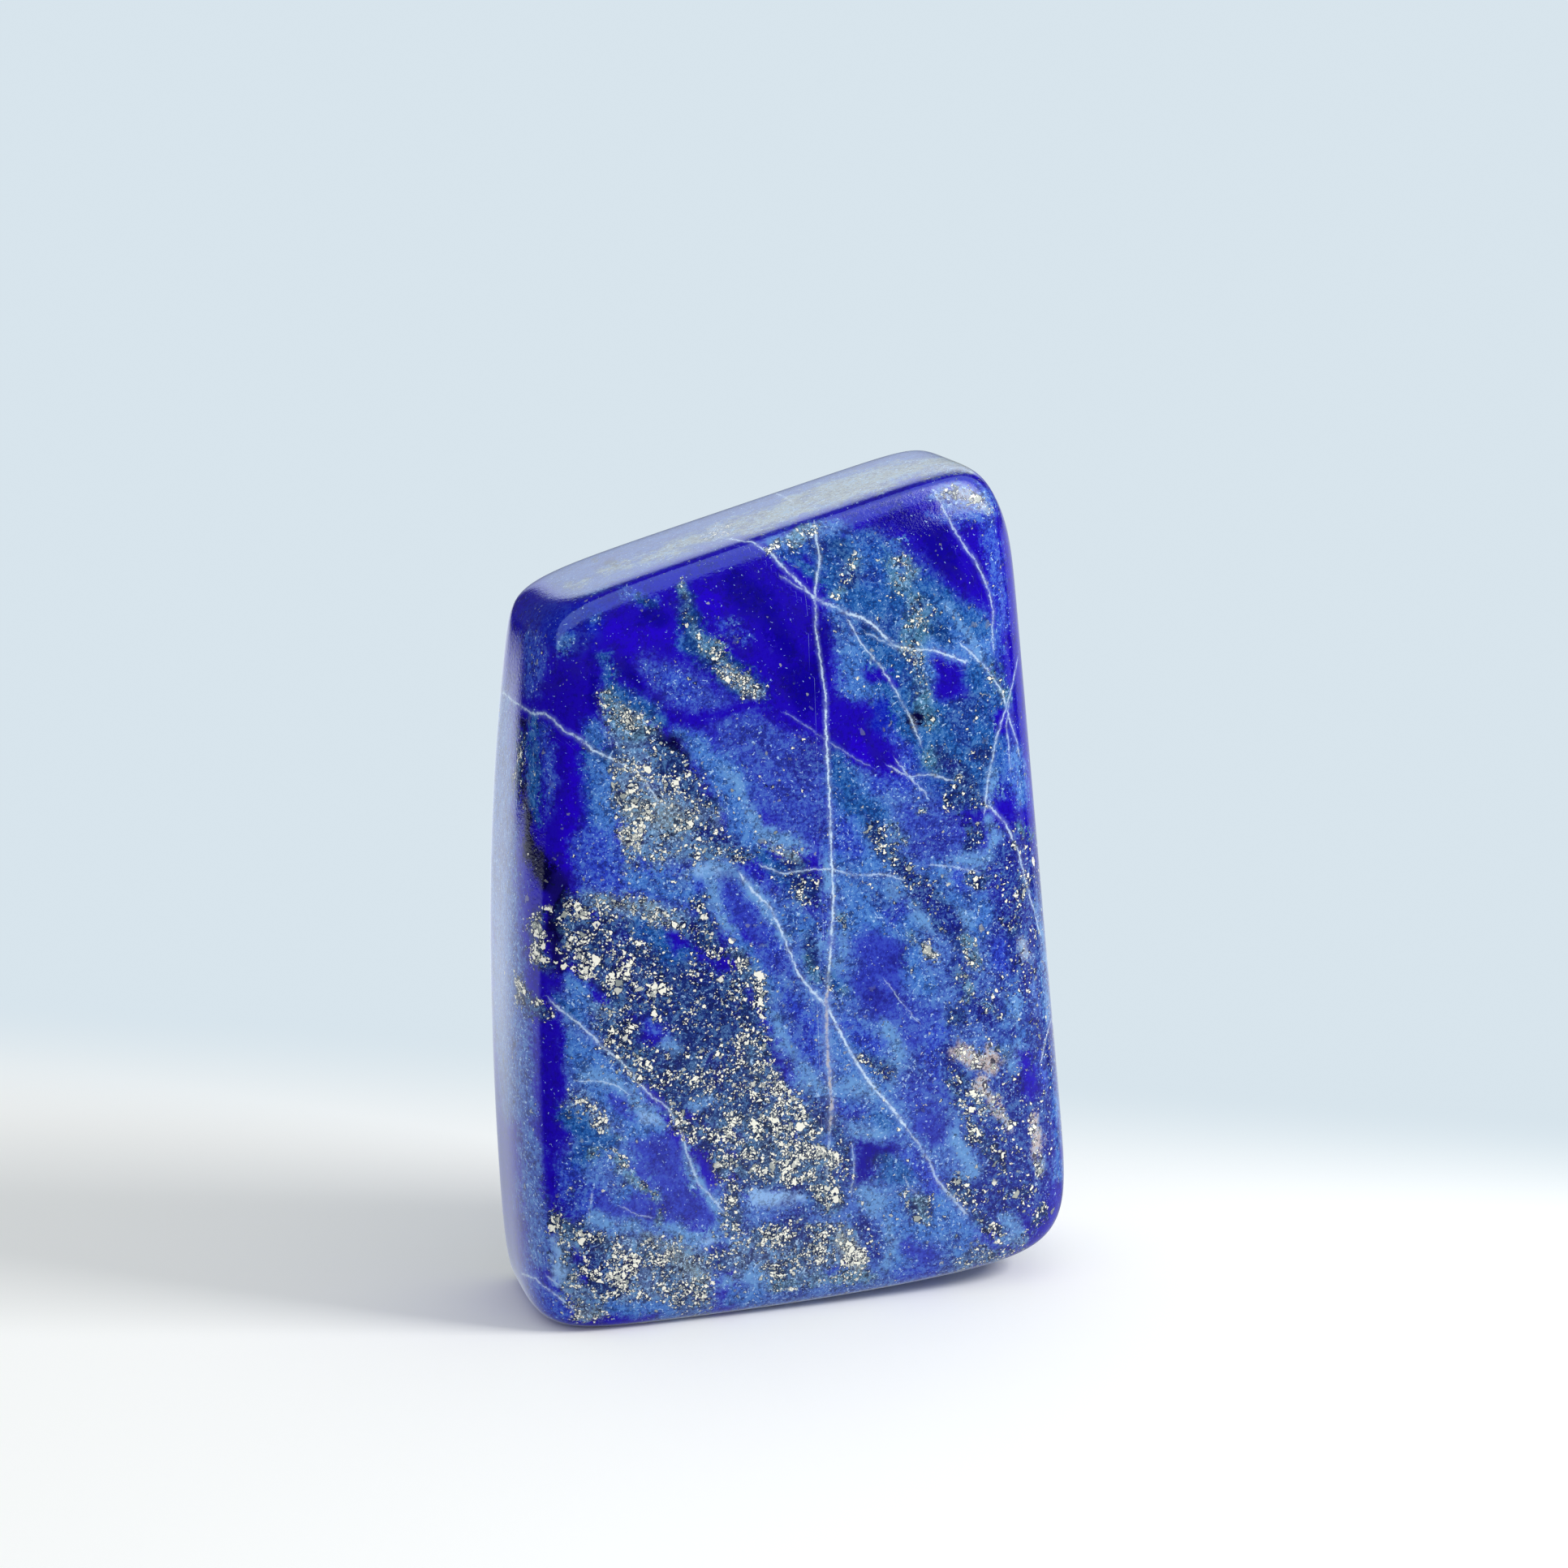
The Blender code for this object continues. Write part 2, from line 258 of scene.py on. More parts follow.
BODY_STROKES = rows_of(
    Stroke,
    # washes under everything else
    ("steel", 60, (1090, 1000, 70), (1120, 1120, 110), (1140, 1250, 130), (1120, 1400, 150),
     (1080, 1560, 120)),
    ("teal", 50, (1060, 690, 40), (1110, 760, 70), (1160, 840, 70), (1190, 930, 60)),
    ("steel", 40, (960, 1120, 30), (990, 1220, 50), (1020, 1320, 50), (1040, 1420, 40)),
    ("royal", 40, (740, 1060, 40), (830, 1090, 40), (900, 1100, 40)),
    ("steel", 36, (700, 1240, 20), (740, 1320, 50), (760, 1420, 60), (780, 1520, 70), (840, 1590, 50)),
    ("steel", 30, (940, 1600, 40), (1040, 1590, 40), (900, 1500, 40)),
    # Painted reflection: this grey wash down the left side stands for the pale floor mirrored there, over the
    # rock's own blue.
    ("steel", 16, (612, 800, 14), (616, 950, 17), (620, 1100, 20), (628, 1250, 24), (640, 1360, 24)),
    ("dusk", 50, (1250, 1050, 30), (1270, 1180, 40), (1270, 1320, 40), (1250, 1450, 50)),
    # upper left
    ("ultramarine", 30, (700, 790, 90), (830, 770, 90), (960, 780, 80), (990, 860, 60)),
    ("cobalt", 30, (665, 760, 22), (700, 772, 34), (725, 765, 22)),
    ("royal", 14, (655, 790, 14), (660, 850, 12)),
    ("denim", 10, (700, 786, 9), (694, 800, 5)),
    ("denim", 6, (727, 764, 5), (737, 760, 3)),
    ("royal", 8, (768, 733, 7), (790, 740, 9), (806, 742, 6)),
    ("deep teal", 6, (785, 739, 4), (806, 745, 4)),
    ("bright ultramarine", 20, (755, 775, 16), (775, 795, 14), (815, 775, 12)),
    ("indigo", 16, (800, 757, 10), (812, 762, 8)),
    ("indigo", 22, (905, 715, 16), (925, 735, 22), (945, 755, 12), (970, 800, 12)),
    ("bright ultramarine", 16, (870, 735, 12), (885, 755, 8)),
    ("sea", 9, (838, 778, 6), (842, 795, 6)),
    ("royal", 8, (885, 768, 4), (905, 782, 7), (925, 797, 3)),
    ("deep teal", 14, (846, 742, 9), (852, 775, 15), (866, 800, 15), (890, 822, 14), (915, 842, 21),
     (930, 850, 17)),
    ("deep teal", 9, (843, 724, 4), (850, 755, 8), (864, 786, 11), (878, 806, 12), (892, 820, 12)),
    ("olive", 7, (843, 720, 2), (848, 755, 3), (862, 786, 5), (878, 808, 6), (892, 822, 7)),
    ("olive", 9, (880, 790, 6), (890, 800, 5)),
    ("gold haze", 10, (897, 830, 8), (912, 838, 12), (924, 850, 14), (934, 851, 9)),
    ("violet", 26, (800, 822, 14), (835, 845, 26), (880, 870, 20), (915, 905, 30), (950, 935, 40)),
    ("royal", 12, (830, 842, 14), (842, 858, 10)),
    ("ultramarine", 12, (795, 880, 8), (835, 890, 10), (880, 882, 9), (925, 868, 7)),
    ("indigo", 8, (762, 822, 8), (778, 835, 7), (790, 850, 5)),
    ("violet", 30, (925, 930, 40), (970, 950, 50), (990, 1000, 40), (975, 1030, 20)),
    # left edge and the strip beside it
    ("ultramarine", 14, (690, 850, 26), (697, 900, 20), (698, 960, 16), (697, 1040, 14)),
    ("royal", 12, (672, 900, 8), (680, 960, 8), (676, 1000, 6)),
    ("bright ultramarine", 10, (704, 905, 8), (706, 960, 8), (697, 1030, 9), (697, 1080, 7)),
    ("indigo", 7, (734, 812, 4), (731, 840, 6), (731, 872, 5)),
    ("teal", 9, (657, 885, 6), (657, 905, 9), (657, 950, 10), (656, 985, 9), (662, 1010, 6)),
    # Painted reflection: the black strokes here stand for the dark surroundings mirrored in the rounded left
    # edge.
    ("black", 6, (644, 890, 3), (642, 930, 5), (641, 965, 4), (648, 1000, 5), (655, 1040, 8)),
    ("navy gold", 5, (644, 900, 3), (642, 930, 4), (638, 965, 3)),
    ("black", 10, (652, 1030, 6), (660, 1060, 9), (678, 1085, 14), (690, 1095, 12)),
    ("black", 10, (688, 1110, 12), (688, 1150, 12), (690, 1185, 11)),
    # left middle: the olive field and what surrounds it
    ("sea", 24, (728, 900, 12), (735, 960, 16), (738, 1010, 16)),
    ("denim", 22, (838, 905, 10), (868, 928, 18), (895, 960, 24), (915, 1000, 24), (930, 1040, 16)),
    ("haze", 26, (762, 885, 20), (785, 930, 36), (800, 980, 52), (815, 1020, 50), (860, 1035, 30),
     (905, 1050, 14)),
    ("teal", 14, (745, 815, 6), (757, 850, 10), (775, 868, 14), (800, 875, 12), (815, 890, 8)),
    ("denim", 16, (735, 900, 10), (742, 950, 14), (745, 1000, 16), (740, 1060, 16)),
    ("royal", 20, (728, 1040, 22), (735, 1090, 22), (770, 1085, 20), (810, 1085, 18)),
    ("olive", 14, (746, 858, 10), (762, 880, 14), (780, 894, 18), (805, 902, 12)),
    ("gold haze", 10, (764, 872, 5), (776, 884, 8), (790, 890, 6)),
    ("teal", 12, (735, 925, 10), (755, 940, 10)),
    ("speckled grey", 22, (770, 950, 18), (810, 960, 30), (845, 985, 26), (870, 1010, 22)),
    ("navy gold", 14, (812, 918, 12), (830, 935, 16), (842, 955, 14), (820, 955, 14), (875, 985, 8)),
    ("black", 10, (818, 915, 4), (838, 915, 5), (845, 930, 3)),
    ("gold haze", 22, (768, 985, 12), (790, 1000, 20), (822, 1008, 20), (848, 1010, 10)),
    ("bright gold", 8, (772, 1030, 10), (782, 1038, 12)),
    ("haze", 14, (780, 1050, 10), (805, 1062, 10), (765, 1075, 6)),
    ("royal", 10, (790, 1065, 6), (812, 1080, 8)),
    ("pale", 14, (893, 948, 6), (905, 965, 9), (920, 990, 8), (935, 1015, 9), (950, 1030, 10)),
    ("denim", 14, (905, 1010, 8), (895, 1030, 6), (930, 1040, 10)),
    ("violet", 12, (930, 985, 8), (955, 990, 12)),
    ("navy gold", 10, (862, 1020, 8), (888, 1040, 10), (915, 1058, 7), (940, 1050, 6)),
    ("dense gold", 7, (860, 1050, 4), (880, 1052, 4), (900, 1055, 5)),
    # light blue hook and the violet beside it
    ("denim", 14, (780, 1085, 12), (820, 1090, 16), (845, 1095, 14)),
    ("pale", 10, (842, 1080, 7), (865, 1070, 11), (890, 1070, 12), (905, 1080, 8)),
    ("sky", 8, (862, 1072, 6), (880, 1074, 6), (893, 1082, 4)),
    ("pale", 10, (875, 1085, 9), (880, 1110, 9), (893, 1135, 8), (908, 1155, 9)),
    ("denim", 12, (905, 1155, 9), (925, 1180, 9), (945, 1205, 9), (955, 1235, 8), (962, 1270, 9)),
    ("violet", 14, (895, 1092, 6), (910, 1110, 11), (925, 1135, 15), (945, 1160, 15), (960, 1190, 14)),
    ("lens", 10, (900, 1100, 6), (918, 1130, 8), (940, 1160, 9)),
    ("pale", 12, (915, 1085, 7), (932, 1105, 9), (950, 1125, 8), (965, 1160, 6)),
    ("pale", 10, (938, 1205, 5), (948, 1225, 6), (958, 1250, 6), (965, 1290, 8)),
    # olive streak, teal and the navy body below
    ("navy", 18, (740, 1190, 18), (790, 1220, 36), (850, 1230, 50), (890, 1280, 56), (905, 1340, 60)),
    ("navy gold", 16, (760, 1285, 20), (800, 1310, 26), (850, 1330, 34), (900, 1350, 40)),
    ("haze", 16, (728, 1108, 12), (760, 1118, 16), (800, 1128, 20), (840, 1130, 14)),
    ("gold haze", 9, (742, 1105, 5), (760, 1112, 6), (785, 1118, 5)),
    ("teal", 14, (790, 1140, 12), (808, 1155, 16), (820, 1170, 10), (760, 1140, 8)),
    ("gold haze", 7, (790, 1110, 5), (805, 1122, 9), (820, 1130, 7), (836, 1142, 4)),
    ("navy gold", 14, (858, 1110, 10), (872, 1140, 12), (880, 1170, 12), (850, 1145, 12)),
    ("teal", 12, (790, 1165, 8), (830, 1185, 8), (845, 1175, 7)),
    ("dense gold", 12, (902, 1172, 8), (918, 1190, 12), (932, 1212, 12), (938, 1238, 10)),
    ("navy gold", 14, (905, 1215, 14), (915, 1245, 18), (925, 1280, 16)),
    ("royal", 14, (805, 1262, 9), (818, 1275, 7)),
    ("pale", 8, (822, 1286, 6), (833, 1292, 9)),
    ("navy gold", 16, (700, 1130, 14), (722, 1152, 20), (745, 1180, 20), (770, 1205, 20), (760, 1240, 12)),
    ("big gold", 12, (704, 1112, 9), (718, 1128, 10), (712, 1145, 10), (740, 1142, 8), (775, 1140, 6)),
    ("big gold", 10, (662, 1128, 8), (660, 1150, 9), (662, 1175, 8), (672, 1190, 8)),
    ("big gold", 12, (695, 1168, 8), (715, 1180, 14), (725, 1195, 10), (745, 1178, 9)),
    ("big gold", 14, (740, 1205, 10), (765, 1195, 14), (785, 1205, 14), (800, 1220, 12), (825, 1215, 9)),
    ("navy gold", 12, (765, 1228, 11), (790, 1235, 11), (755, 1250, 7), (820, 1230, 7)),
    ("navy gold", 14, (742, 1150, 12), (768, 1166, 16), (800, 1178, 13)),
    ("haze", 10, (712, 1222, 8), (730, 1238, 10), (748, 1246, 8)),
    ("big gold", 8, (640, 1212, 6), (650, 1232, 9), (662, 1246, 9), (676, 1250, 6)),
    ("navy gold", 10, (735, 1262, 10), (760, 1275, 14), (785, 1270, 10)),
    ("big gold", 8, (700, 1180, 8), (702, 1150, 5)),
    # lower left blues
    ("denim", 16, (705, 1215, 14), (722, 1225, 12), (712, 1250, 12)),
    ("teal", 8, (684, 1230, 5), (694, 1242, 7), (710, 1252, 5)),
    ("denim", 14, (706, 1294, 16), (730, 1320, 22), (754, 1344, 22), (784, 1374, 16), (806, 1392, 10)),
    ("navy gold", 8, (735, 1266, 6), (770, 1298, 8), (800, 1328, 8), (822, 1350, 8), (838, 1374, 7)),
    ("ultramarine", 10, (684, 1265, 10), (682, 1310, 12), (685, 1345, 11), (690, 1395, 8)),
    ("ultramarine", 8, (682, 1285, 6), (683, 1335, 7)),
    ("pale", 14, (720, 1325, 8), (748, 1330, 10), (770, 1345, 10), (790, 1365, 12), (810, 1382, 10)),
    ("sky", 8, (790, 1372, 5), (805, 1382, 6)),
    ("lens", 10, (755, 1355, 6), (768, 1362, 9), (778, 1372, 6)),
    ("teal", 18, (700, 1375, 14), (725, 1390, 18), (745, 1410, 14), (712, 1430, 12)),
    ("speckled grey", 14, (705, 1360, 10), (715, 1350, 6), (735, 1378, 10), (748, 1388, 7)),
    ("denim", 12, (775, 1395, 8), (800, 1392, 8)),
    ("royal", 16, (700, 1440, 14), (706, 1480, 16), (735, 1475, 14)),
    ("lens", 12, (785, 1410, 10), (812, 1420, 24), (835, 1455, 26), (862, 1488, 20), (872, 1498, 14)),
    ("lens", 14, (790, 1440, 12), (790, 1480, 16), (745, 1485, 12), (820, 1490, 18)),
    ("denim", 12, (765, 1450, 8), (775, 1468, 8), (760, 1478, 6)),
    ("olive", 6, (756, 1424, 5), (766, 1436, 6), (776, 1450, 6), (792, 1462, 4), (808, 1473, 5)),
    ("olive", 5, (765, 1404, 5)),
    ("olive", 5, (733, 1420, 6), (731, 1428, 4)),
    ("olive", 5, (812, 1492, 4), (811, 1506, 4)),
    ("olive", 5, (700, 1468, 4), (706, 1472, 3)),
    ("pale", 8, (730, 1500, 6), (745, 1508, 8), (765, 1512, 7), (785, 1508, 7)),
    ("pale", 9, (820, 1512, 6), (845, 1522, 9), (872, 1528, 9), (888, 1520, 7), (894, 1505, 4)),
    ("sky", 6, (868, 1528, 4), (880, 1526, 5)),
    ("pale", 7, (838, 1394, 4), (850, 1425, 6), (860, 1455, 7), (878, 1480, 6), (893, 1498, 5)),
    # bottom left
    ("speckled grey", 16, (690, 1545, 18), (700, 1590, 18), (740, 1600, 20), (800, 1598, 20),
     (870, 1600, 12)),
    ("speckled grey", 12, (690, 1508, 12), (710, 1525, 16), (760, 1545, 24), (820, 1560, 30),
     (860, 1560, 20)),
    ("dense gold", 12, (685, 1500, 8), (705, 1512, 10), (730, 1530, 10), (755, 1535, 9)),
    ("navy gold", 12, (720, 1560, 12), (750, 1565, 16), (775, 1560, 12), (745, 1585, 12)),
    ("big gold", 9, (722, 1562, 8), (738, 1580, 10), (760, 1592, 8), (776, 1555, 9)),
    ("sky", 10, (682, 1530, 6), (686, 1560, 8), (684, 1582, 7)),
    ("gold haze", 14, (805, 1530, 12), (835, 1550, 14), (860, 1570, 10), (870, 1590, 8)),
    ("dense gold", 10, (800, 1535, 8), (838, 1598, 12), (870, 1592, 8)),
    ("speckled grey", 9, (786, 1580, 9), (772, 1600, 6)),
    # Painted reflection: this grey wash on the lower left side stands for the floor mirrored there.
    ("steel", 14, (648, 1370, 8), (652, 1420, 14), (656, 1480, 17), (664, 1550, 16)),
    ("royal", 14, (648, 1565, 10), (660, 1590, 14), (685, 1612, 14), (705, 1625, 10)),
    ("denim", 10, (735, 1612, 7), (780, 1614, 9), (830, 1612, 8)),
    ("gold haze", 8, (718, 1620, 10), (735, 1620, 10)),
    ("navy", 12, (885, 1545, 8), (895, 1555, 10), (910, 1545, 8)),
    ("pale", 7, (890, 1578, 8), (900, 1580, 6)),
    # bottom centre: the dense gold and its islet
    ("dense gold", 16, (900, 1390, 20), (935, 1400, 36), (965, 1430, 34), (1000, 1440, 30),
     (1020, 1480, 18)),
    ("dense gold", 14, (835, 1385, 10), (860, 1395, 14), (885, 1420, 14), (892, 1445, 12)),
    ("dense gold", 14, (922, 1296, 14), (942, 1332, 18), (968, 1362, 18), (998, 1390, 16)),
    ("navy", 9, (992, 1342, 7), (1008, 1364, 8), (1022, 1386, 6)),
    ("navy", 9, (840, 1352, 10), (870, 1365, 12), (855, 1385, 5)),
    ("pale", 8, (858, 1362, 9), (870, 1360, 7)),
    ("navy", 8, (870, 1412, 9), (878, 1425, 6)),
    ("dense gold", 12, (902, 1436, 12), (922, 1450, 12), (950, 1456, 8)),
    ("dense gold", 9, (905, 1465, 8), (905, 1490, 9), (905, 1515, 8)),
    ("speckled grey", 16, (920, 1550, 24), (960, 1550, 34), (1010, 1540, 36), (1040, 1530, 22)),
    ("dense gold", 14, (935, 1525, 12), (975, 1520, 16), (1010, 1525, 16), (960, 1575, 10)),
    ("navy", 9, (918, 1462, 8), (955, 1462, 7), (1000, 1475, 8), (990, 1500, 8), (940, 1512, 6)),
    ("denim", 8, (925, 1480, 8), (945, 1484, 11), (975, 1482, 11), (998, 1484, 6)),
    ("sky", 6, (927, 1476, 10), (945, 1480, 15), (968, 1478, 14), (984, 1480, 8)),
    ("steel", 5, (936, 1490, 5), (950, 1493, 5), (985, 1488, 5)),
    ("bright gold", 7, (1034, 1530, 7), (1046, 1542, 13), (1057, 1555, 12), (1063, 1566, 6)),
    ("bright gold", 6, (1016, 1420, 7), (1026, 1428, 9)),
    ("pale", 12, (925, 1570, 9), (945, 1580, 9), (930, 1590, 7)),
    ("royal", 7, (1022, 1568, 8), (1045, 1566, 8)),
    ("olive", 9, (1000, 1578, 8), (1070, 1570, 7), (960, 1585, 7)),
    ("denim", 10, (900, 1600, 8), (935, 1600, 8)),
    # middle: steel blue with its dark and pale spots
    ("denim", 26, (1040, 950, 18), (1060, 1000, 34), (1040, 1040, 26), (1100, 1130, 40), (1060, 1140, 30)),
    ("teal", 16, (1030, 930, 10), (1038, 960, 14), (1050, 985, 18), (1080, 1005, 12)),
    ("royal", 16, (1040, 1020, 14), (1050, 1045, 14), (1030, 1040, 8)),
    ("pale", 14, (945, 1032, 12), (968, 1035, 12), (990, 1045, 8)),
    ("teal", 14, (945, 1060, 10), (960, 1075, 12), (975, 1100, 8)),
    ("navy", 9, (972, 1055, 8), (982, 1062, 10), (985, 1085, 12), (995, 1105, 14), (1005, 1080, 7)),
    ("gold haze", 6, (981, 1058, 5), (957, 1048, 4)),
    ("dense gold", 6, (985, 1103, 6), (995, 1110, 4)),
    ("pale", 10, (1022, 1075, 9), (1025, 1095, 8), (1018, 1065, 6)),
    ("denim", 18, (975, 1130, 14), (990, 1140, 16), (965, 1125, 10)),
    ("royal", 12, (948, 1148, 8), (950, 1165, 9)),
    ("navy", 8, (995, 1150, 6), (1000, 1165, 8), (1005, 1182, 6)),
    ("grey green", 8, (1000, 1190, 7), (1005, 1205, 8), (995, 1180, 4)),
    ("pale", 10, (1035, 1150, 7), (1040, 1170, 8), (1032, 1190, 6), (1010, 1160, 4)),
    ("teal", 10, (1020, 1200, 8), (1030, 1215, 9), (1045, 1225, 6)),
    ("navy", 7, (1018, 1200, 6), (1020, 1215, 6)),
    ("olive", 5, (1037, 1131, 6), (1042, 1128, 3)),
    ("olive", 5, (1037, 1224, 5), (1045, 1220, 3)),
    ("royal", 20, (965, 1230, 8), (985, 1245, 12), (1000, 1265, 12), (985, 1285, 14), (1000, 1305, 12)),
    ("pale", 12, (1125, 1115, 10), (1145, 1140, 10), (1095, 1095, 8)),
    ("royal", 12, (1100, 1130, 12), (1110, 1120, 8)),
    ("lens", 20, (1065, 1165, 18), (1085, 1180, 28), (1105, 1190, 26), (1075, 1215, 28),
     (1100, 1245, 28), (1120, 1275, 18)),
    ("lens", 14, (1080, 1165, 14), (1100, 1175, 14)),
    ("denim", 12, (1130, 1165, 10), (1125, 1195, 10), (1140, 1215, 14)),
    ("bright gold", 6, (1140, 1170, 5), (1150, 1175, 7)),
    ("olive", 4, (1122, 1150, 3), (1126, 1160, 3)),
    ("violet", 16, (1120, 1240, 16), (1110, 1270, 12), (1150, 1250, 12)),
    # upper right
    ("denim", 26, (1060, 690, 30), (1060, 760, 40), (1050, 830, 34), (1120, 800, 50), (1190, 790, 40)),
    ("teal", 24, (1000, 665, 18), (1030, 690, 24), (1080, 760, 30), (1120, 880, 34), (1190, 900, 40)),
    ("denim", 16, (955, 668, 12), (985, 668, 14), (1030, 650, 10)),
    ("sea", 12, (960, 680, 8), (978, 695, 6), (1000, 660, 6)),
    ("olive", 9, (982, 672, 7), (990, 662, 7), (1005, 655, 5)),
    ("big gold", 6, (950, 675, 5), (957, 670, 4)),
    ("olive", 6, (970, 662, 5), (985, 655, 6), (1000, 650, 6)),
    ("teal", 9, (984, 692, 7), (996, 702, 7), (1006, 712, 5)),
    ("deep teal", 9, (1018, 668, 8), (1032, 672, 8), (1042, 685, 8)),
    ("sea", 20, (1070, 660, 12), (1085, 690, 16), (1075, 715, 14)),
    ("teal", 14, (1018, 712, 9), (1028, 730, 9), (1048, 742, 9), (1066, 760, 8)),
    ("navy", 7, (1040, 708, 9), (1048, 711, 12), (1052, 700, 9)),
    ("olive", 8, (1050, 695, 5), (1056, 690, 5)),
    ("grey green", 12, (1092, 690, 8), (1100, 710, 8), (1110, 725, 9)),
    ("olive", 9, (1095, 690, 5), (1116, 692, 6), (1122, 706, 8), (1108, 718, 8), (1132, 706, 7)),
    ("olive", 7, (1028, 730, 4), (1034, 734, 3)),
    ("indigo", 16, (1080, 640, 8), (1115, 642, 16), (1150, 650, 22), (1165, 680, 22), (1175, 705, 14)),
    ("ultramarine", 16, (1185, 655, 16), (1195, 690, 18), (1205, 720, 14), (1170, 720, 12)),
    ("ultramarine", 12, (1085, 632, 9), (1060, 645, 6)),
    ("royal", 12, (1218, 650, 10), (1225, 690, 10), (1230, 730, 9), (1236, 770, 8)),
    ("royal", 10, (1150, 635, 6), (1180, 640, 9), (1205, 635, 10)),
    # Painted highlight: the steel and cream here paint the pale sheen on the rounded top right corner, on top
    # of the window's own reflection there.
    ("steel", 14, (1150, 608, 8), (1180, 610, 20), (1206, 616, 18), (1222, 632, 8)),
    ("cream", 10, (1166, 604, 5), (1188, 606, 9), (1208, 618, 7), (1218, 632, 4)),
    ("denim", 9, (1105, 675, 6), (1112, 668, 5)),
    ("teal", 20, (1160, 730, 12), (1175, 755, 16), (1195, 770, 14), (1215, 775, 10)),
    ("pale", 9, (1168, 748, 5), (1185, 768, 6), (1200, 790, 5), (1206, 812, 4)),
    ("grey green", 12, (1122, 735, 10), (1135, 752, 16), (1132, 775, 18), (1122, 798, 12)),
    ("olive", 9, (1118, 735, 4), (1122, 742, 4), (1135, 762, 6)),
    ("olive", 6, (1122, 798, 6), (1128, 812, 8), (1134, 806, 5)),
    ("grey green", 12, (1130, 830, 9), (1135, 850, 12), (1138, 872, 12), (1148, 890, 9)),
    ("deep teal", 8, (1158, 780, 12), (1165, 790, 10)),
    ("ultramarine", 16, (1158, 815, 9), (1175, 835, 16), (1165, 850, 14), (1190, 850, 8)),
    ("denim", 14, (1035, 835, 9), (1052, 842, 13), (1070, 852, 10)),
    ("ultramarine", 9, (1072, 830, 8), (1095, 832, 7), (1102, 840, 5)),
    ("ultramarine", 12, (1040, 868, 10), (1050, 880, 9), (1075, 880, 6)),
    ("cobalt", 12, (1085, 870, 9), (1100, 895, 8), (1075, 895, 8)),
    ("teal", 16, (1200, 830, 10), (1215, 850, 12), (1225, 890, 10), (1240, 850, 9)),
    ("grey green", 9, (1220, 820, 7), (1228, 835, 7), (1238, 860, 5)),
    ("ultramarine", 5, (1232, 885, 10), (1236, 895, 10)),
    ("black", 4, (1126, 883, 7), (1133, 885, 8)),
    ("cream", 2, (1130, 886, 2)),
    ("ultramarine", 20, (1015, 800, 14), (1010, 850, 24), (1015, 890, 14)),
    ("indigo", 18, (985, 830, 18), (995, 860, 18), (1020, 770, 6)),
    ("ultramarine", 16, (1030, 895, 10), (1055, 915, 20), (1080, 930, 20), (1095, 945, 16),
     (1110, 965, 10)),
    ("bright ultramarine", 12, (1055, 915, 10), (1065, 930, 10)),
    ("royal", 12, (1100, 900, 6), (1115, 925, 8), (1120, 970, 10), (1080, 965, 9)),
    ("violet", 20, (1120, 1000, 14), (1140, 1020, 18), (1165, 1035, 14), (1135, 1045, 14)),
    ("grey green", 9, (1145, 930, 9), (1155, 945, 9), (1150, 920, 6)),
    ("navy", 14, (1160, 925, 8), (1178, 950, 12), (1190, 970, 16), (1175, 985, 14), (1205, 985, 8)),
    ("navy", 12, (1200, 930, 8), (1220, 925, 6), (1212, 950, 5)),
    ("big gold", 4, (1180, 962, 4), (1186, 960, 3)),
    ("big gold", 3, (1208, 985, 3)),
    ("olive", 5, (1134, 999, 4), (1138, 998, 3)),
    ("pale", 12, (1226, 950, 7), (1224, 975, 9), (1218, 990, 5)),
    ("denim", 14, (1250, 930, 9), (1258, 960, 9), (1262, 990, 8)),
    # right middle
    ("pale", 12, (1218, 1010, 7), (1226, 1035, 11), (1222, 1055, 11), (1200, 1062, 9), (1180, 1060, 6)),
    ("pale", 14, (1170, 1080, 10), (1165, 1110, 12), (1185, 1125, 14), (1200, 1140, 10)),
    ("denim", 12, (1155, 1065, 8), (1150, 1090, 7), (1215, 1120, 9), (1205, 1160, 9)),
    ("navy", 9, (1192, 1018, 6), (1203, 1025, 10), (1198, 1040, 9), (1190, 1045, 4)),
    ("big gold", 4, (1202, 1020, 5), (1207, 1015, 3)),
    ("royal", 8, (1180, 1080, 8), (1188, 1090, 7)),
    ("navy gold", 6, (1198, 1080, 6), (1206, 1090, 9), (1214, 1086, 5)),
    ("navy gold", 12, (1075, 1025, 10), (1092, 1045, 11), (1108, 1065, 11), (1122, 1082, 10)),
    ("olive", 7, (1100, 1020, 5), (1106, 1030, 5), (1118, 1036, 4)),
    ("navy gold", 10, (1122, 1082, 10), (1135, 1098, 10), (1150, 1098, 8), (1160, 1118, 10),
     (1172, 1140, 10)),
    ("navy", 10, (1122, 1082, 8), (1148, 1108, 11), (1165, 1138, 11), (1182, 1165, 8)),
    ("dusk", 12, (1150, 1115, 8), (1170, 1130, 10), (1178, 1145, 9)),
    ("olive", 8, (1186, 1155, 9), (1195, 1170, 9), (1202, 1188, 8)),
    ("dusk", 12, (1180, 1190, 8), (1190, 1215, 12), (1198, 1235, 12), (1215, 1255, 12)),
    ("olive", 6, (1185, 1200, 5), (1195, 1215, 5), (1192, 1232, 4)),
    ("dense gold", 4, (1210, 1237, 4), (1225, 1246, 5), (1238, 1256, 3)),
    ("olive", 3, (1218, 1222, 4)),
    ("dusk", 14, (1240, 1050, 14), (1250, 1090, 16), (1240, 1120, 16), (1255, 1150, 16), (1262, 1185, 12)),
    ("navy gold", 8, (1235, 1130, 6), (1245, 1145, 8), (1252, 1130, 5), (1262, 1082, 5)),
    ("cream", 7, (1258, 1160, 5), (1264, 1175, 6), (1270, 1182, 4)),
    ("royal", 10, (1230, 1165, 9), (1235, 1190, 9)),
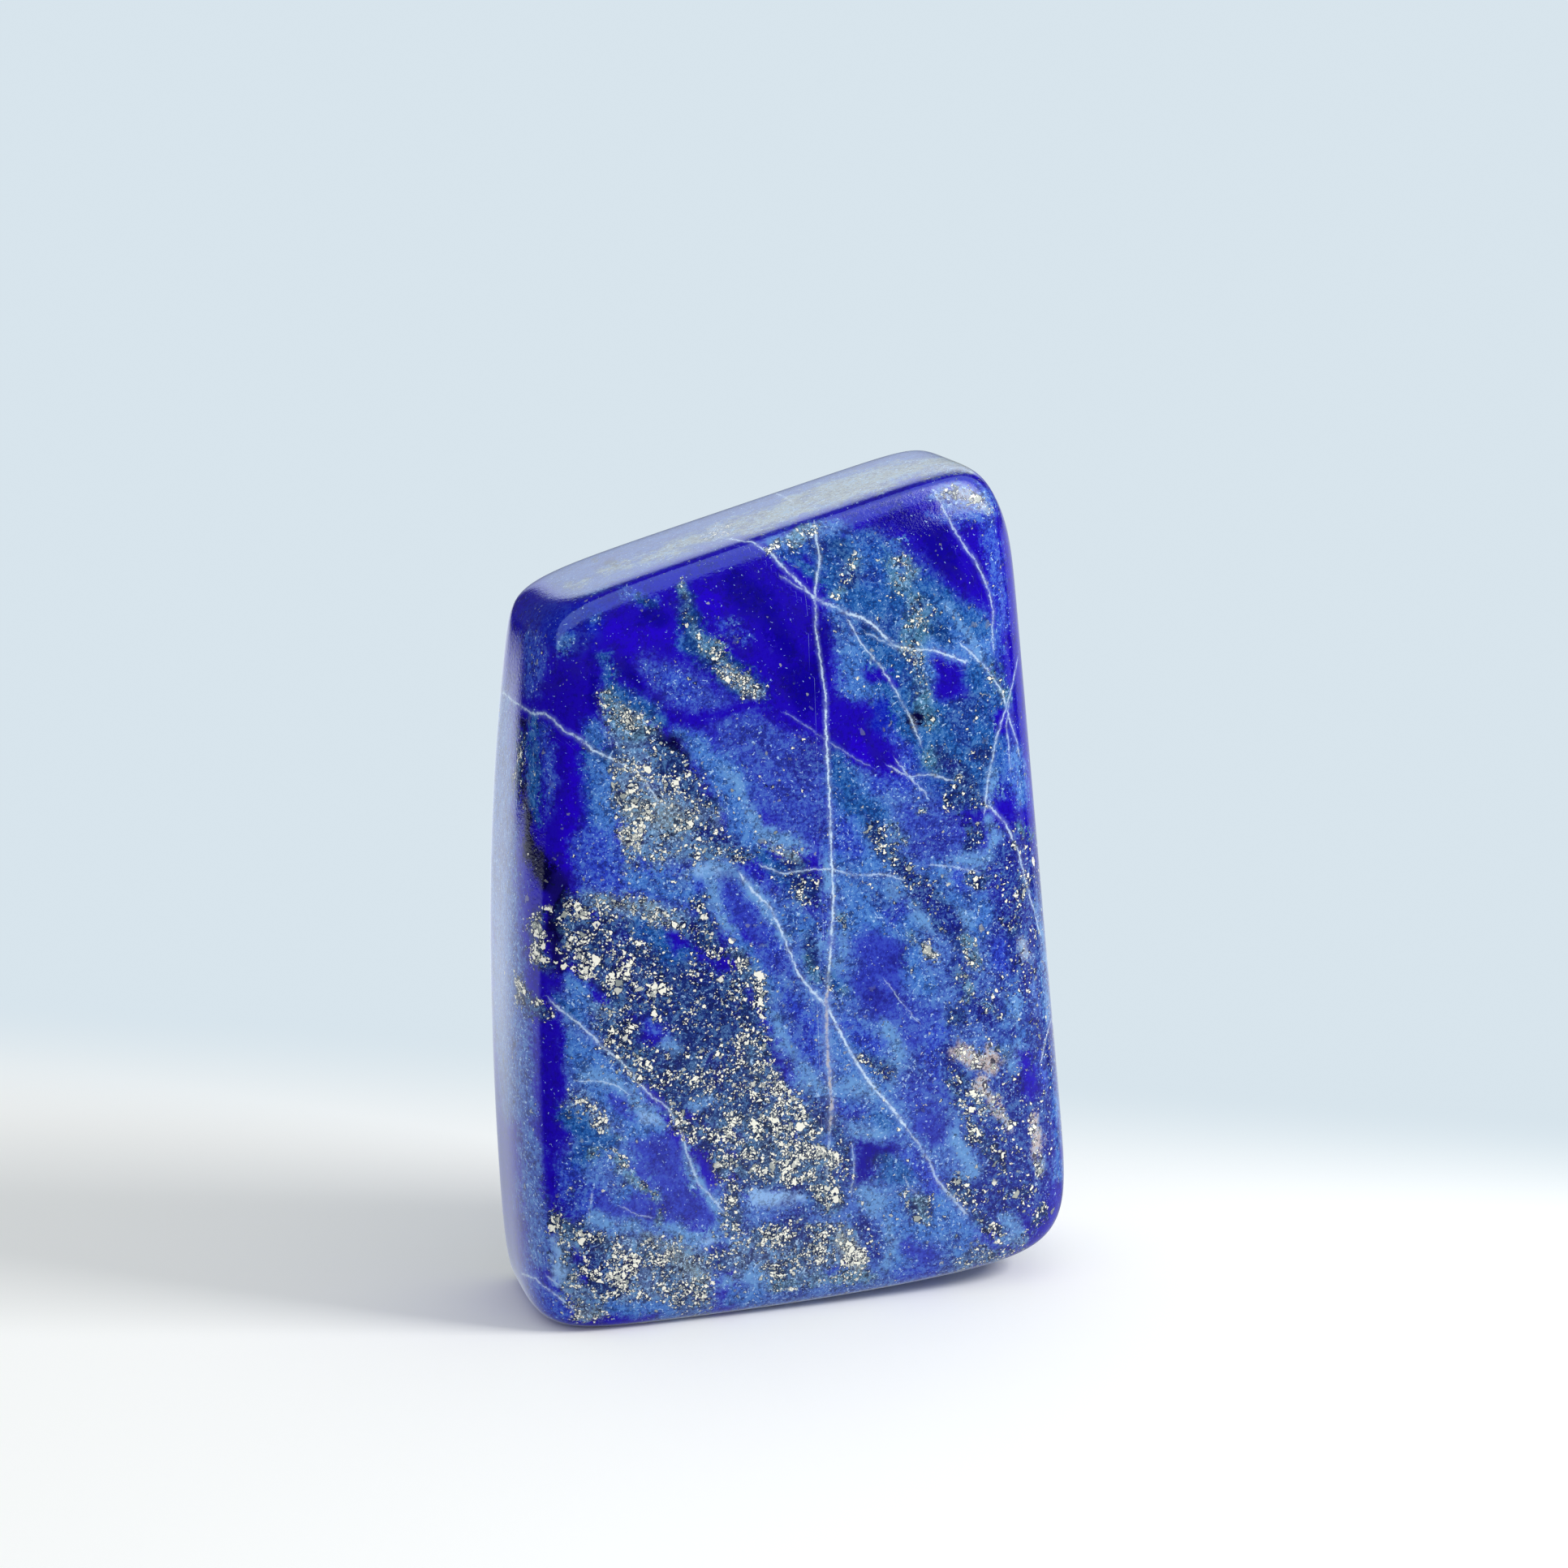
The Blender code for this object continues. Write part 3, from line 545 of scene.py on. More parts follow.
    ("denim", 12, (1245, 1215, 9), (1252, 1240, 14), (1240, 1255, 9)),
    ("pale", 9, (1238, 1225, 5), (1256, 1232, 6), (1250, 1255, 7)),
    ("pale", 7, (1280, 1100, 3), (1285, 1160, 4), (1289, 1220, 4), (1293, 1260, 4)),
    ("steel", 5, (1273, 1215, 3), (1276, 1225, 4), (1279, 1245, 4)),
    ("grey green", 7, (1260, 1020, 6), (1272, 1028, 5)),
    # lower middle
    ("denim", 22, (1035, 1280, 12), (1060, 1300, 20), (1075, 1330, 24), (1050, 1345, 22), (1085, 1380, 26)),
    ("royal", 14, (1040, 1262, 8), (1055, 1270, 10), (1075, 1290, 10)),
    ("pale", 12, (1092, 1268, 9), (1105, 1290, 12), (1112, 1312, 8), (1100, 1330, 7)),
    ("navy", 8, (1062, 1302, 5), (1080, 1312, 8), (1095, 1322, 8), (1102, 1308, 5)),
    ("big gold", 4, (1059, 1303, 3), (1083, 1318, 3), (1092, 1316, 3)),
    ("royal", 12, (975, 1290, 8), (990, 1300, 10), (1002, 1285, 8)),
    ("pale", 12, (985, 1325, 7), (1000, 1338, 11), (1015, 1345, 6), (965, 1285, 5)),
    ("pale", 14, (1030, 1340, 6), (1050, 1338, 12), (1072, 1342, 12)),
    ("royal", 10, (1032, 1362, 7), (1048, 1368, 9), (1062, 1362, 6)),
    ("pale", 12, (1045, 1385, 8), (1060, 1397, 12), (1078, 1400, 10), (1092, 1392, 6)),
    ("teal", 7, (1083, 1378, 6), (1092, 1385, 7)),
    ("indigo", 12, (1055, 1415, 7), (1075, 1420, 14), (1065, 1440, 12), (1095, 1415, 10), (1058, 1455, 7)),
    ("navy", 7, (1080, 1428, 7), (1088, 1424, 5)),
    ("navy", 9, (1020, 1375, 8), (1032, 1400, 9), (1040, 1430, 9), (1045, 1460, 8)),
    ("teal", 14, (1092, 1430, 8), (1105, 1438, 12), (1118, 1450, 12), (1095, 1450, 8)),
    ("pale", 14, (1062, 1470, 9), (1080, 1475, 14), (1098, 1480, 10), (1075, 1492, 9)),
    ("denim", 16, (1110, 1480, 12), (1100, 1510, 16), (1100, 1550, 16), (1130, 1520, 14), (1150, 1500, 12)),
    ("pale", 10, (1095, 1510, 8), (1100, 1535, 8), (1092, 1560, 7)),
    ("navy gold", 9, (1112, 1470, 6), (1125, 1483, 11), (1137, 1498, 9), (1145, 1475, 6)),
    ("olive", 6, (1115, 1474, 4), (1140, 1478, 6), (1138, 1502, 3)),
    ("dusk", 12, (1062, 1500, 7), (1072, 1520, 9), (1078, 1545, 7)),
    ("violet", 18, (1125, 1350, 14), (1145, 1370, 20), (1150, 1395, 16), (1125, 1330, 10),
     (1160, 1350, 14)),
    ("lens", 14, (1140, 1385, 14), (1150, 1400, 12)),
    ("lens", 14, (1120, 1538, 10), (1135, 1545, 12), (1148, 1545, 9)),
    ("lens", 9, (1165, 1530, 6), (1172, 1535, 7)),
    ("royal", 14, (1120, 1425, 8), (1140, 1445, 12), (1155, 1460, 10)),
    ("pale", 12, (1175, 1400, 7), (1188, 1425, 11), (1195, 1440, 11), (1180, 1455, 7)),
    ("denim", 14, (1160, 1480, 10), (1170, 1500, 12), (1190, 1520, 12), (1160, 1520, 10), (1185, 1550, 10)),
    # lower right
    ("dusk", 20, (1165, 1290, 12), (1180, 1330, 16), (1200, 1350, 18), (1240, 1390, 26), (1250, 1440, 30)),
    ("dusk", 16, (1215, 1470, 20), (1250, 1480, 22), (1275, 1460, 14), (1262, 1400, 12)),
    ("royal", 12, (1150, 1275, 8), (1165, 1262, 8), (1140, 1300, 10), (1150, 1320, 10)),
    ("navy", 9, (1168, 1252, 6), (1182, 1258, 9), (1175, 1245, 6)),
    ("denim", 12, (1240, 1290, 8), (1255, 1285, 10), (1245, 1320, 8), (1262, 1272, 7)),
    ("pale", 9, (1238, 1298, 5), (1246, 1322, 6), (1256, 1290, 6)),
    ("ultramarine", 10, (1262, 1305, 7), (1268, 1330, 8), (1272, 1350, 6)),
    ("rose cream", 6, (1178, 1300, 8), (1190, 1298, 12), (1206, 1304, 12), (1224, 1311, 10),
     (1219, 1290, 5)),
    ("rose cream", 6, (1211, 1328, 7), (1207, 1342, 8), (1222, 1350, 8), (1230, 1368, 7), (1242, 1385, 6)),
    ("speckled grey", 8, (1205, 1355, 7), (1215, 1372, 7)),
    ("navy", 7, (1184, 1325, 4), (1192, 1345, 5)),
    ("navy gold", 6, (1172, 1335, 5), (1185, 1360, 6), (1192, 1385, 6), (1198, 1410, 5)),
    ("dense gold", 4, (1207, 1398, 5), (1215, 1415, 5), (1222, 1428, 4), (1235, 1435, 3)),
    ("navy gold", 6, (1200, 1390, 5), (1212, 1410, 6), (1222, 1425, 6), (1238, 1440, 5)),
    ("navy gold", 8, (1172, 1458, 6), (1185, 1472, 9), (1198, 1482, 6)),
    ("navy gold", 8, (1202, 1495, 7), (1215, 1510, 10), (1228, 1522, 8), (1240, 1512, 4)),
    ("big gold", 4, (1222, 1512, 5), (1230, 1518, 4)),
    ("navy gold", 6, (1245, 1470, 6), (1262, 1470, 6), (1272, 1470, 4)),
    ("navy gold", 6, (1285, 1485, 4), (1280, 1500, 6), (1272, 1510, 5)),
    ("pale", 9, (1238, 1500, 6), (1250, 1510, 9), (1255, 1525, 7), (1238, 1528, 6)),
    ("rose cream", 7, (1277, 1378, 4), (1280, 1400, 6), (1277, 1425, 6)),
    ("cream", 4, (1283, 1432, 5), (1280, 1445, 5)),
    ("royal", 4, (1283, 1300, 3), (1280, 1315, 3), (1287, 1345, 3)),
    ("denim", 6, (1297, 1300, 3), (1303, 1380, 4), (1305, 1450, 4)),
    ("haze", 10, (1200, 1545, 8), (1230, 1545, 9), (1180, 1560, 7), (1265, 1530, 6)),
    ("royal", 12, (1110, 1570, 8), (1150, 1565, 8)),
)
# These lie only on the top face.
TOP_STROKES = rows_of(
    Stroke,
    ("top blue", 10, (620, 760, 60), (700, 700, 60), (900, 640, 60), (1190, 560, 60)),
    ("top strip", 8, (760, 725, 4), (850, 690, 6), (940, 662, 7), (1040, 626, 7), (1130, 596, 7),
     (1190, 586, 6)),
    ("calcite", 6, (700, 722, 2), (722, 717, 2)),
    ("calcite", 7, (738, 706, 2), (756, 700, 4), (776, 694, 3)),
    ("calcite", 8, (790, 688, 3), (830, 674, 6), (860, 664, 8), (900, 655, 10), (940, 640, 11)),
    ("calcite", 9, (940, 640, 10), (980, 624, 12), (1040, 604, 14), (1100, 584, 12),
     (1160, 572, 10), (1192, 577, 8)),
    ("calcite", 6, (1180, 566, 6), (1205, 584, 6), (1222, 602, 4)),
    ("cream", 3, (865, 661, 3), (885, 656, 5), (902, 655, 4)),
    ("pit", 3, (728, 690, 1), (736, 690, 2)),
    ("pit", 3, (746, 694, 3), (758, 693, 4)),
)

# A vein runs along places read off the picture in the same way, with its half width in millimetres and how
# clear it is.
Vein = namedtuple("Vein", "half_width clear places")
VEINS = rows_of(
    Vein,
    (0.11, 0.75, (1003, 645), (1006, 663), (1010, 690), (1004, 728), (1005, 775), (1011, 816), (1017, 857)),
    (0.12, 1.0, (1017, 857), (1018, 908), (1021, 959), (1023, 1010), (1025, 1066), (1027, 1112)),
    (0.14, 0.9, (1027, 1112), (1024, 1163), (1019, 1225)),
    (0.2, 0.85, (1019, 1225), (1018, 1250), (1019, 1286), (1022, 1327), (1025, 1357), (1023, 1388)),
    (0.1, 0.35, (1023, 1388), (1020, 1420), (1019, 1459)),
    (0.13, 0.8, (900, 664), (929, 669), (950, 682), (965, 699), (981, 714), (997, 731), (1010, 741),
     (1031, 749)),
    (0.13, 0.9, (1031, 749), (1046, 757), (1062, 761), (1080, 773), (1091, 786), (1104, 797), (1122, 800)),
    (0.12, 0.85, (1122, 800), (1151, 801), (1172, 809), (1190, 816)),
    (0.1, 0.6, (964, 711), (978, 720), (997, 731)),
    (0.1, 0.5, (1070, 781), (1084, 788), (1099, 796)),
    (0.1, 0.7, (1046, 765), (1057, 786), (1070, 804), (1086, 822), (1099, 843), (1109, 862), (1120, 880)),
    (0.1, 0.7, (1120, 880), (1128, 901), (1135, 917)),
    (0.13, 0.6, (1151, 605), (1159, 621), (1177, 655), (1190, 676), (1201, 689), (1211, 710), (1219, 731)),
    (0.13, 0.6, (1219, 731), (1224, 754), (1223, 775), (1224, 801)),
    (0.12, 0.7, (1185, 794), (1201, 809), (1214, 822), (1224, 835), (1235, 854), (1240, 872), (1245, 890)),
    (0.12, 0.6, (1245, 890), (1253, 914), (1256, 932)),
    (0.12, 0.6, (1254, 812), (1248, 841), (1241, 867), (1228, 908), (1218, 959), (1213, 1000)),
    (0.13, 0.7, (1216, 990), (1239, 1015), (1254, 1046), (1264, 1087), (1274, 1122), (1282, 1153)),
    (0.1, 0.5, (1243, 867), (1240, 893), (1243, 919), (1245, 950)),
    (0.13, 0.75, (610, 850), (619, 853), (638, 868), (657, 879), (672, 880), (682, 887), (693, 899),
     (707, 906)),
    (0.13, 0.8, (707, 906), (718, 913), (730, 924), (741, 930), (764, 939), (784, 952), (797, 967)),
    (0.12, 0.65, (797, 967), (810, 985), (818, 992)),
    (0.12, 0.85, (912, 1077), (927, 1097), (948, 1117), (961, 1143), (971, 1168), (983, 1199), (999, 1219)),
    (0.15, 0.95, (999, 1219), (1019, 1240), (1034, 1270), (1050, 1301), (1070, 1332), (1096, 1362),
     (1116, 1388)),
    (0.11, 0.6, (1116, 1388), (1131, 1408), (1147, 1434), (1154, 1454)),
    (0.16, 0.6, (1148, 1440), (1154, 1454), (1172, 1474), (1190, 1495)),
    (0.12, 0.7, (677, 1232), (698, 1250), (718, 1265), (744, 1291), (769, 1311), (784, 1332), (805, 1352)),
    (0.12, 0.55, (805, 1352), (825, 1367), (838, 1393), (846, 1418), (853, 1439), (861, 1459),
     (876, 1474), (892, 1495)),
    (0.1, 0.6, (938, 1066), (963, 1077), (999, 1071), (1024, 1071), (1055, 1079), (1091, 1077),
     (1111, 1084)),
    (0.09, 0.45, (1147, 1066), (1175, 1068), (1203, 1074)),
    (0.08, 0.25, (968, 878), (994, 895), (1017, 911), (1045, 929), (1070, 944)),
    (0.09, 0.6, (1096, 944), (1121, 957), (1147, 954), (1172, 962)),
    (0.09, 0.6, (1104, 938), (1121, 957), (1142, 980)),
    (0.14, 0.7, (643, 1569), (659, 1575), (670, 1585), (686, 1596), (700, 1608), (714, 1619)),
    (0.12, 0.45, (675, 1573), (691, 1585), (700, 1594)),
    (0.12, 0.7, (1296, 1254), (1291, 1271), (1286, 1292), (1283, 1307)),
    (0.06, 0.5, (1091, 1209), (1111, 1235), (1131, 1260)),
    (0.08, 0.5, (713, 1332), (739, 1332), (759, 1337), (774, 1347)),
    (0.07, 0.4, (730, 1469), (726, 1490), (726, 1505)),
    (0.09, 0.4, (1050, 1410), (1053, 1440), (1049, 1470)),
    (0.07, 0.35, (765, 1486), (785, 1497), (802, 1500)),
    (0.08, 0.4, (1115, 1452), (1122, 1465), (1130, 1472)),
    (0.12, 0.5, (956, 608), (966, 612), (976, 618)),
)
# Each point of the skin can hold so many veins.
VEIN_CHANNELS = 6


# ---- laying the rock kinds on the skin ----

# Each wave is its size in the rock and how far it moves things: in pixels, or as a share of a stroke's edge.
Wave = namedtuple("Wave", "size height")
RAGGED = Wave(4.2 * MM, 5.0), Wave(1.5 * MM, 3.2), Wave(0.8 * MM, 1.8)
EDGE_WAVES = Wave(1.1 * MM, 1.0), Wave(2.6 * MM, 0.7)
# The second coat wanders this much more.
STRAY = 0.9
# The first seed of each set of waves; the second coat's seeds stand further on.
RAGGED_SEED, BACK_SEED, EDGE_SEED, COAT_SEEDS = 1, 11, 31, 50
# How far each seed moves the noise, so that no two look alike.
SEED_STEP = 7.3, -3.1, 5.7

# The far side takes its rock from places moved off by these pixels, folded back into the stone's own part of
# the picture. It does so in full from this much turned away, and folds from this share on.
BACK_SHIFT = np.array((-170.0, 120.0))
BACK_WAVES = Wave(13 * MM, 75.0), Wave(5 * MM, 22.0)
PICTURE_OF_STONE = ((640, 1285), (700, 1600))
TURNED_AWAY = 0.75
FOLDS_FROM = 0.02

# The top's own strokes lie where the skin looks up by more than this.
TOP_FACE_FROM, TOP_FACE_FULL = 0.87, 0.925
# How far a stroke's edge wanders, in pixels: the least and half its softness, but never more than the most.
EDGE_LEAST, EDGE_MOST = 2, 7
# A stroke is only worked out for places no further off than this, in pixels past its soft edge.
STROKE_MARGIN = 12


def smooth(low, high, values):
    """0 below low, 1 above high, and a smooth rise between them."""
    share = np.clip((values - low) / (high - low), 0, 1)
    return share * share * (3 - 2 * share)


def noise_at(points, size, seed):
    """One noise value about zero for each point, with features of the given size."""
    offset = Vector([step * seed for step in SEED_STEP])
    return np.array([noise.noise(Vector(p) / size + offset) for p in points])


def wander(points, waves, seed, factor=1.0):
    """How far waves move each point across and down the picture."""
    moved = np.zeros((len(points), 2))
    for number, wave in enumerate(waves):
        for axis in (0, 1):
            moved[:, axis] += wave.height * factor * noise_at(points, wave.size, seed + axis + 2 * number)
    return moved


def folded(values, ends):
    """Values past either end come back inside, as in a mirror."""
    low, high = ends
    span = high - low
    beyond = (values - low) % (2 * span)
    return low + np.where(beyond > span, 2 * span - beyond, beyond)


def painted_places(points, normals, coat):
    """Where each point takes its rock from, in picture pixels. What the camera sees takes it from its own
    place; the far side takes it from further and further off, so that it isn't the front again."""
    places = in_picture(points) + wander(points, RAGGED, RAGGED_SEED + COAT_SEEDS * coat, 1 + STRAY * coat)
    hidden = smooth(0.0, TURNED_AWAY, -(normals @ camera_axes()[2]))
    away = BACK_SHIFT + wander(points, BACK_WAVES, BACK_SEED)
    moved = places + away * hidden[:, None]
    for axis in (0, 1):
        inside = folded(moved[:, axis], PICTURE_OF_STONE[axis])
        moved[:, axis] = np.where(hidden > FOLDS_FROM, inside, moved[:, axis])
    return moved


def gap_to_stroke(places, beads):
    """How far each place is outside a stroke, in pixels, and less than zero within it."""
    gap = np.full(len(places), np.inf)
    for start, end in zip(beads, beads[1:] if len(beads) > 1 else beads):
        run = end[:2] - start[:2]
        along = np.clip((places - start[:2]) @ run / max(float(run @ run), TINY), 0, 1)
        nearest = start[:2] + along[:, None] * run
        radius = start[2] + along * (end[2] - start[2])
        gap = np.minimum(gap, np.linalg.norm(places - nearest, axis=1) - radius)
    return gap


def look_of(rock):
    """Six numbers: the rock's colour, fine grains, coarse grains and dust."""
    return np.array((*rock.colour, rock.fine, rock.coarse, rock.dust), float)


def lay_strokes(paint, strokes, places, edge_noise, share):
    """Lays strokes over the paint, which holds the look of the rock at each place."""
    for stroke in strokes:
        beads = np.array(stroke.places, float)
        reach = beads[:, 2].max() + stroke.soft + STROKE_MARGIN
        low, high = beads[:, :2].min(axis=0) - reach, beads[:, :2].max(axis=0) + reach
        near = ((places > low) & (places < high)).all(axis=1)
        if not near.any():
            continue
        edge = edge_noise[near] * min(EDGE_MOST, EDGE_LEAST + stroke.soft / 2)
        gap = gap_to_stroke(places[near], beads) + edge
        cover = (1 - smooth(-stroke.soft / 2, stroke.soft / 2, gap)) * share[near]
        paint[near] += (look_of(ROCKS[stroke.rock]) - paint[near]) * cover[:, None]


def paint_of(points, normals, coat):
    """The look of the rock at each point. There are two coats, whose borders wander apart; the finish picks
    between them grain by grain, so that one kind of rock crumbles into the next."""
    paint = np.tile(look_of(ROCKS["ultramarine"]), (len(points), 1))
    places = painted_places(points, normals, coat)
    edge_noise = sum(
        wave.height * noise_at(points, wave.size, EDGE_SEED + number + COAT_SEEDS * coat)
        for number, wave in enumerate(EDGE_WAVES)
    )
    lay_strokes(paint, BODY_STROKES, places, edge_noise, np.ones(len(points)))
    lay_strokes(paint, TOP_STROKES, places, edge_noise, smooth(TOP_FACE_FROM, TOP_FACE_FULL, normals[:, 2]))
    return paint


def linear(colour):
    """A screen colour of 0 to 255 as the shader's own light values, by the usual sRGB curve."""
    share = np.asarray(colour, float) / 255
    return np.where(share <= 0.04045, share / 12.92, ((share + 0.055) / 1.055) ** 2.4)


# ---- the veins' courses over the skin ----

# Skin further than this from a vein holds nothing of it.
VEIN_NEAR = 1.4 * MM
# What a channel holds where it has no vein: a distance and a half width, in millimetres.
NO_VEIN_GAP, NO_VEIN_WIDTH = 9, 0.1
# A vein fades out from this share of the way to where it is no longer near, and over this length past its
# ends.
VEIN_FADES_FROM = 0.65
VEIN_RUNS_OUT = 0.7 * MM
# A route has a point every few pixels. Points further apart than the gap lie on two sides of an edge.
ROUTE_STEP = 6
ROUTE_GAP = 3 * MM
# The far side has the wider veins again, slanted, moved off by these pixels and a little less clear.
FAR_VEIN_OVER = 0.1
FAR_SLANT = -0.35, 0.2
FAR_SHIFT = -60, 70
FAR_CLEAR = 0.9


def route_on_skin(tree, places, from_behind):
    """The skin points under a vein's picture places, in metres, closely spaced."""
    hits = []
    for (x0, y0), (x1, y1) in zip(places, places[1:]):
        steps = max(1, round(math.hypot(x1 - x0, y1 - y0) / ROUTE_STEP))
        for step in range(steps + ((x1, y1) == tuple(places[-1]))):
            share = step / steps
            way = sight_line(x0 + (x1 - x0) * share, y0 + (y1 - y0) * share)
            start = camera_place() + (way * 2 * VIEW_DISTANCE if from_behind else 0)
            hit = tree.ray_cast(Vector(start), Vector(-way if from_behind else way))[0]
            if hit is not None:
                hits.append(np.array(hit))
    return hits


def behind(vein):
    """A vein of the far side: the same course, moved off so that it isn't the front one again."""
    middle_x, middle_y = (sum(ends) / 2 for ends in PICTURE_OF_STONE)
    moved = [
        (x + FAR_SLANT[0] * (y - middle_y) + FAR_SHIFT[0], y + FAR_SLANT[1] * (x - middle_x) + FAR_SHIFT[1])
        for x, y in vein.places
    ]
    return vein._replace(places=moved, clear=vein.clear * FAR_CLEAR)


def lay_veins(points, normals, tree):
    """For each channel, a signed distance in mm, how clear the vein is there, and its half width in mm."""
    channels = np.tile((NO_VEIN_GAP, 0.0, NO_VEIN_WIDTH), (VEIN_CHANNELS, len(points), 1))
    taken = np.zeros((VEIN_CHANNELS, len(points)), bool)
    courses = [(vein, False) for vein in VEINS]
    courses += [(behind(vein), True) for vein in VEINS if vein.half_width > FAR_VEIN_OVER]
    for vein, from_behind in courses:
        route = route_on_skin(tree, vein.places, from_behind)
        if len(route) < 2:
            continue
        near, signed, beyond = distance_to_route(points, normals, route)
        if not len(near):
            continue
        channel = min(range(VEIN_CHANNELS), key=lambda channel: taken[channel, near].sum())
        free = ~taken[channel, near]
        fade = 1 - smooth(VEIN_FADES_FROM, 1.0, np.abs(signed) / VEIN_NEAR)
        fade *= 1 - smooth(0.0, VEIN_RUNS_OUT, beyond)
        widths = np.full(len(near), vein.half_width)
        channels[channel, near[free]] = np.column_stack((signed / MM, vein.clear * fade, widths))[free]
        taken[channel, near[free]] = True
    return channels


def distance_to_route(points, normals, route):
    """The points near a route, their signed distances to it, and how far past its ends they are."""
    route = np.array(route)
    low, high = route.min(axis=0) - VEIN_NEAR, route.max(axis=0) + VEIN_NEAR
    near = np.flatnonzero(((points > low) & (points < high)).all(axis=1))
    best = np.full(len(near), np.inf)
    side = np.ones(len(near))
    beyond = np.zeros(len(near))
    place, facing = points[near], normals[near]
    for number, (start, end) in enumerate(zip(route, route[1:])):
        run = end - start
        length = float(np.linalg.norm(run))
        if length < TINY or length > ROUTE_GAP:
            continue
        way = run / length
        along = (place - start) @ way
        nearest = start + np.clip(along, 0, length)[:, None] * way
        gap = np.linalg.norm(place - nearest, axis=1)
        closer = gap < best
        best = np.where(closer, gap, best)
        turned = (np.cross(way, place - nearest) * facing).sum(axis=1)
        side = np.where(closer, np.where(turned < 0, -1.0, 1.0), side)
        past = np.zeros(len(near))
        if number == 0:
            past = np.maximum(past, -along)
        if number == len(route) - 2:
            past = np.maximum(past, along - length)
        beyond = np.where(closer, past, beyond)
    kept = best < VEIN_NEAR
    return near[kept], (best * side)[kept], beyond[kept]


# ---- the stone's mesh ----


def deselect_all():
    """Back to object mode, with nothing selected."""
    if bpy.context.object and bpy.context.object.mode != "OBJECT":
        bpy.ops.object.mode_set(mode="OBJECT")
    bpy.ops.object.select_all(action="DESELECT")


def subdivide_along(axis, cuts):
    """Cuts each edge of the block that runs along an axis into so many."""
    block = bpy.context.object
    bpy.ops.object.mode_set(mode="OBJECT")
    places = [vertex.co.copy() for vertex in block.data.vertices]
    others = [other for other in range(3) if other != axis]
    bpy.ops.object.mode_set(mode="EDIT")
    bpy.ops.mesh.select_mode(type="EDGE")
    bpy.ops.mesh.select_all(action="DESELECT")
    bpy.ops.object.mode_set(mode="OBJECT")
    for edge in block.data.edges:
        start, end = (places[number] for number in edge.vertices)
        edge.select = all(abs(start[other] - end[other]) < TINY for other in others)
    bpy.ops.object.mode_set(mode="EDIT")
    bpy.ops.mesh.subdivide(number_cuts=cuts - 1)


def rough_block(name):
    """A block of side 1 with its low corner at the origin, cut into the cells that the grinding moves."""
    deselect_all()
    bpy.ops.mesh.primitive_cube_add(size=1, location=(0.5, 0.5, 0.5), calc_uvs=False)
    block = bpy.context.object
    block.name = block.data.name = name
    bpy.ops.object.transform_apply(location=True, rotation=True, scale=True)
    bpy.ops.object.mode_set(mode="EDIT")
    for axis, direction in enumerate(CUTS):
        for cuts in CUTS[direction]:
            subdivide_along(axis, cuts)
    bpy.ops.object.mode_set(mode="OBJECT")
    return block


# Each side of the block gets its own chart: which side it is, the axes that run across and up it, how large
# it is and where it lies on the sheet, in millimetres.
Chart = namedtuple("Chart", "axis end across up size place")
SHEET_SIDE = 172.0
CHARTS = (
    Chart(1, 0, 0, 2, (70, 97), (1, 1)),
    Chart(1, 1, 0, 2, (70, 97), (72, 1)),
    Chart(0, 0, 1, 2, (28, 97), (143, 1)),
    Chart(0, 1, 2, 1, (97, 28), (1, 99)),
    Chart(2, 1, 0, 1, (70, 28), (99, 99)),
    Chart(2, 0, 0, 1, (70, 28), (1, 128)),
)


def unwrap(mesh, shares):
    """Gives each corner its place on the sheet, from the side of the block that its face lies on."""
    corners = np.empty(len(mesh.loops), int)
    mesh.loops.foreach_get("vertex_index", corners)
    sheet = np.zeros((len(corners), 2))
    for polygon in mesh.polygons:
        loops = list(polygon.loop_indices)
        block = shares[corners[loops]]
        chart = next(chart for chart in CHARTS if np.all(np.abs(block[:, chart.axis] - chart.end) < TINY))
        sheet[loops] = chart.place + block[:, [chart.across, chart.up]] * chart.size
    layer = mesh.uv_layers.new(name="OFBake")
    layer.data.foreach_set("uv", (sheet / SHEET_SIDE).ravel().astype(np.float32))


def values_of(collection, name):
    """What a mesh holds under a name, as three numbers for each of its points."""
    values = np.empty(len(collection) * 3, np.float32)
    collection.foreach_get(name, values)
    return values.reshape(-1, 3).astype(float)


def store(mesh, name, kind, values):
    """Puts values on the points of a mesh under a name."""
    attribute = mesh.attributes.new(name, kind, "POINT")
    field = "color" if kind == "FLOAT_COLOR" else "vector"
    attribute.data.foreach_set(field, values.astype(np.float32).ravel())


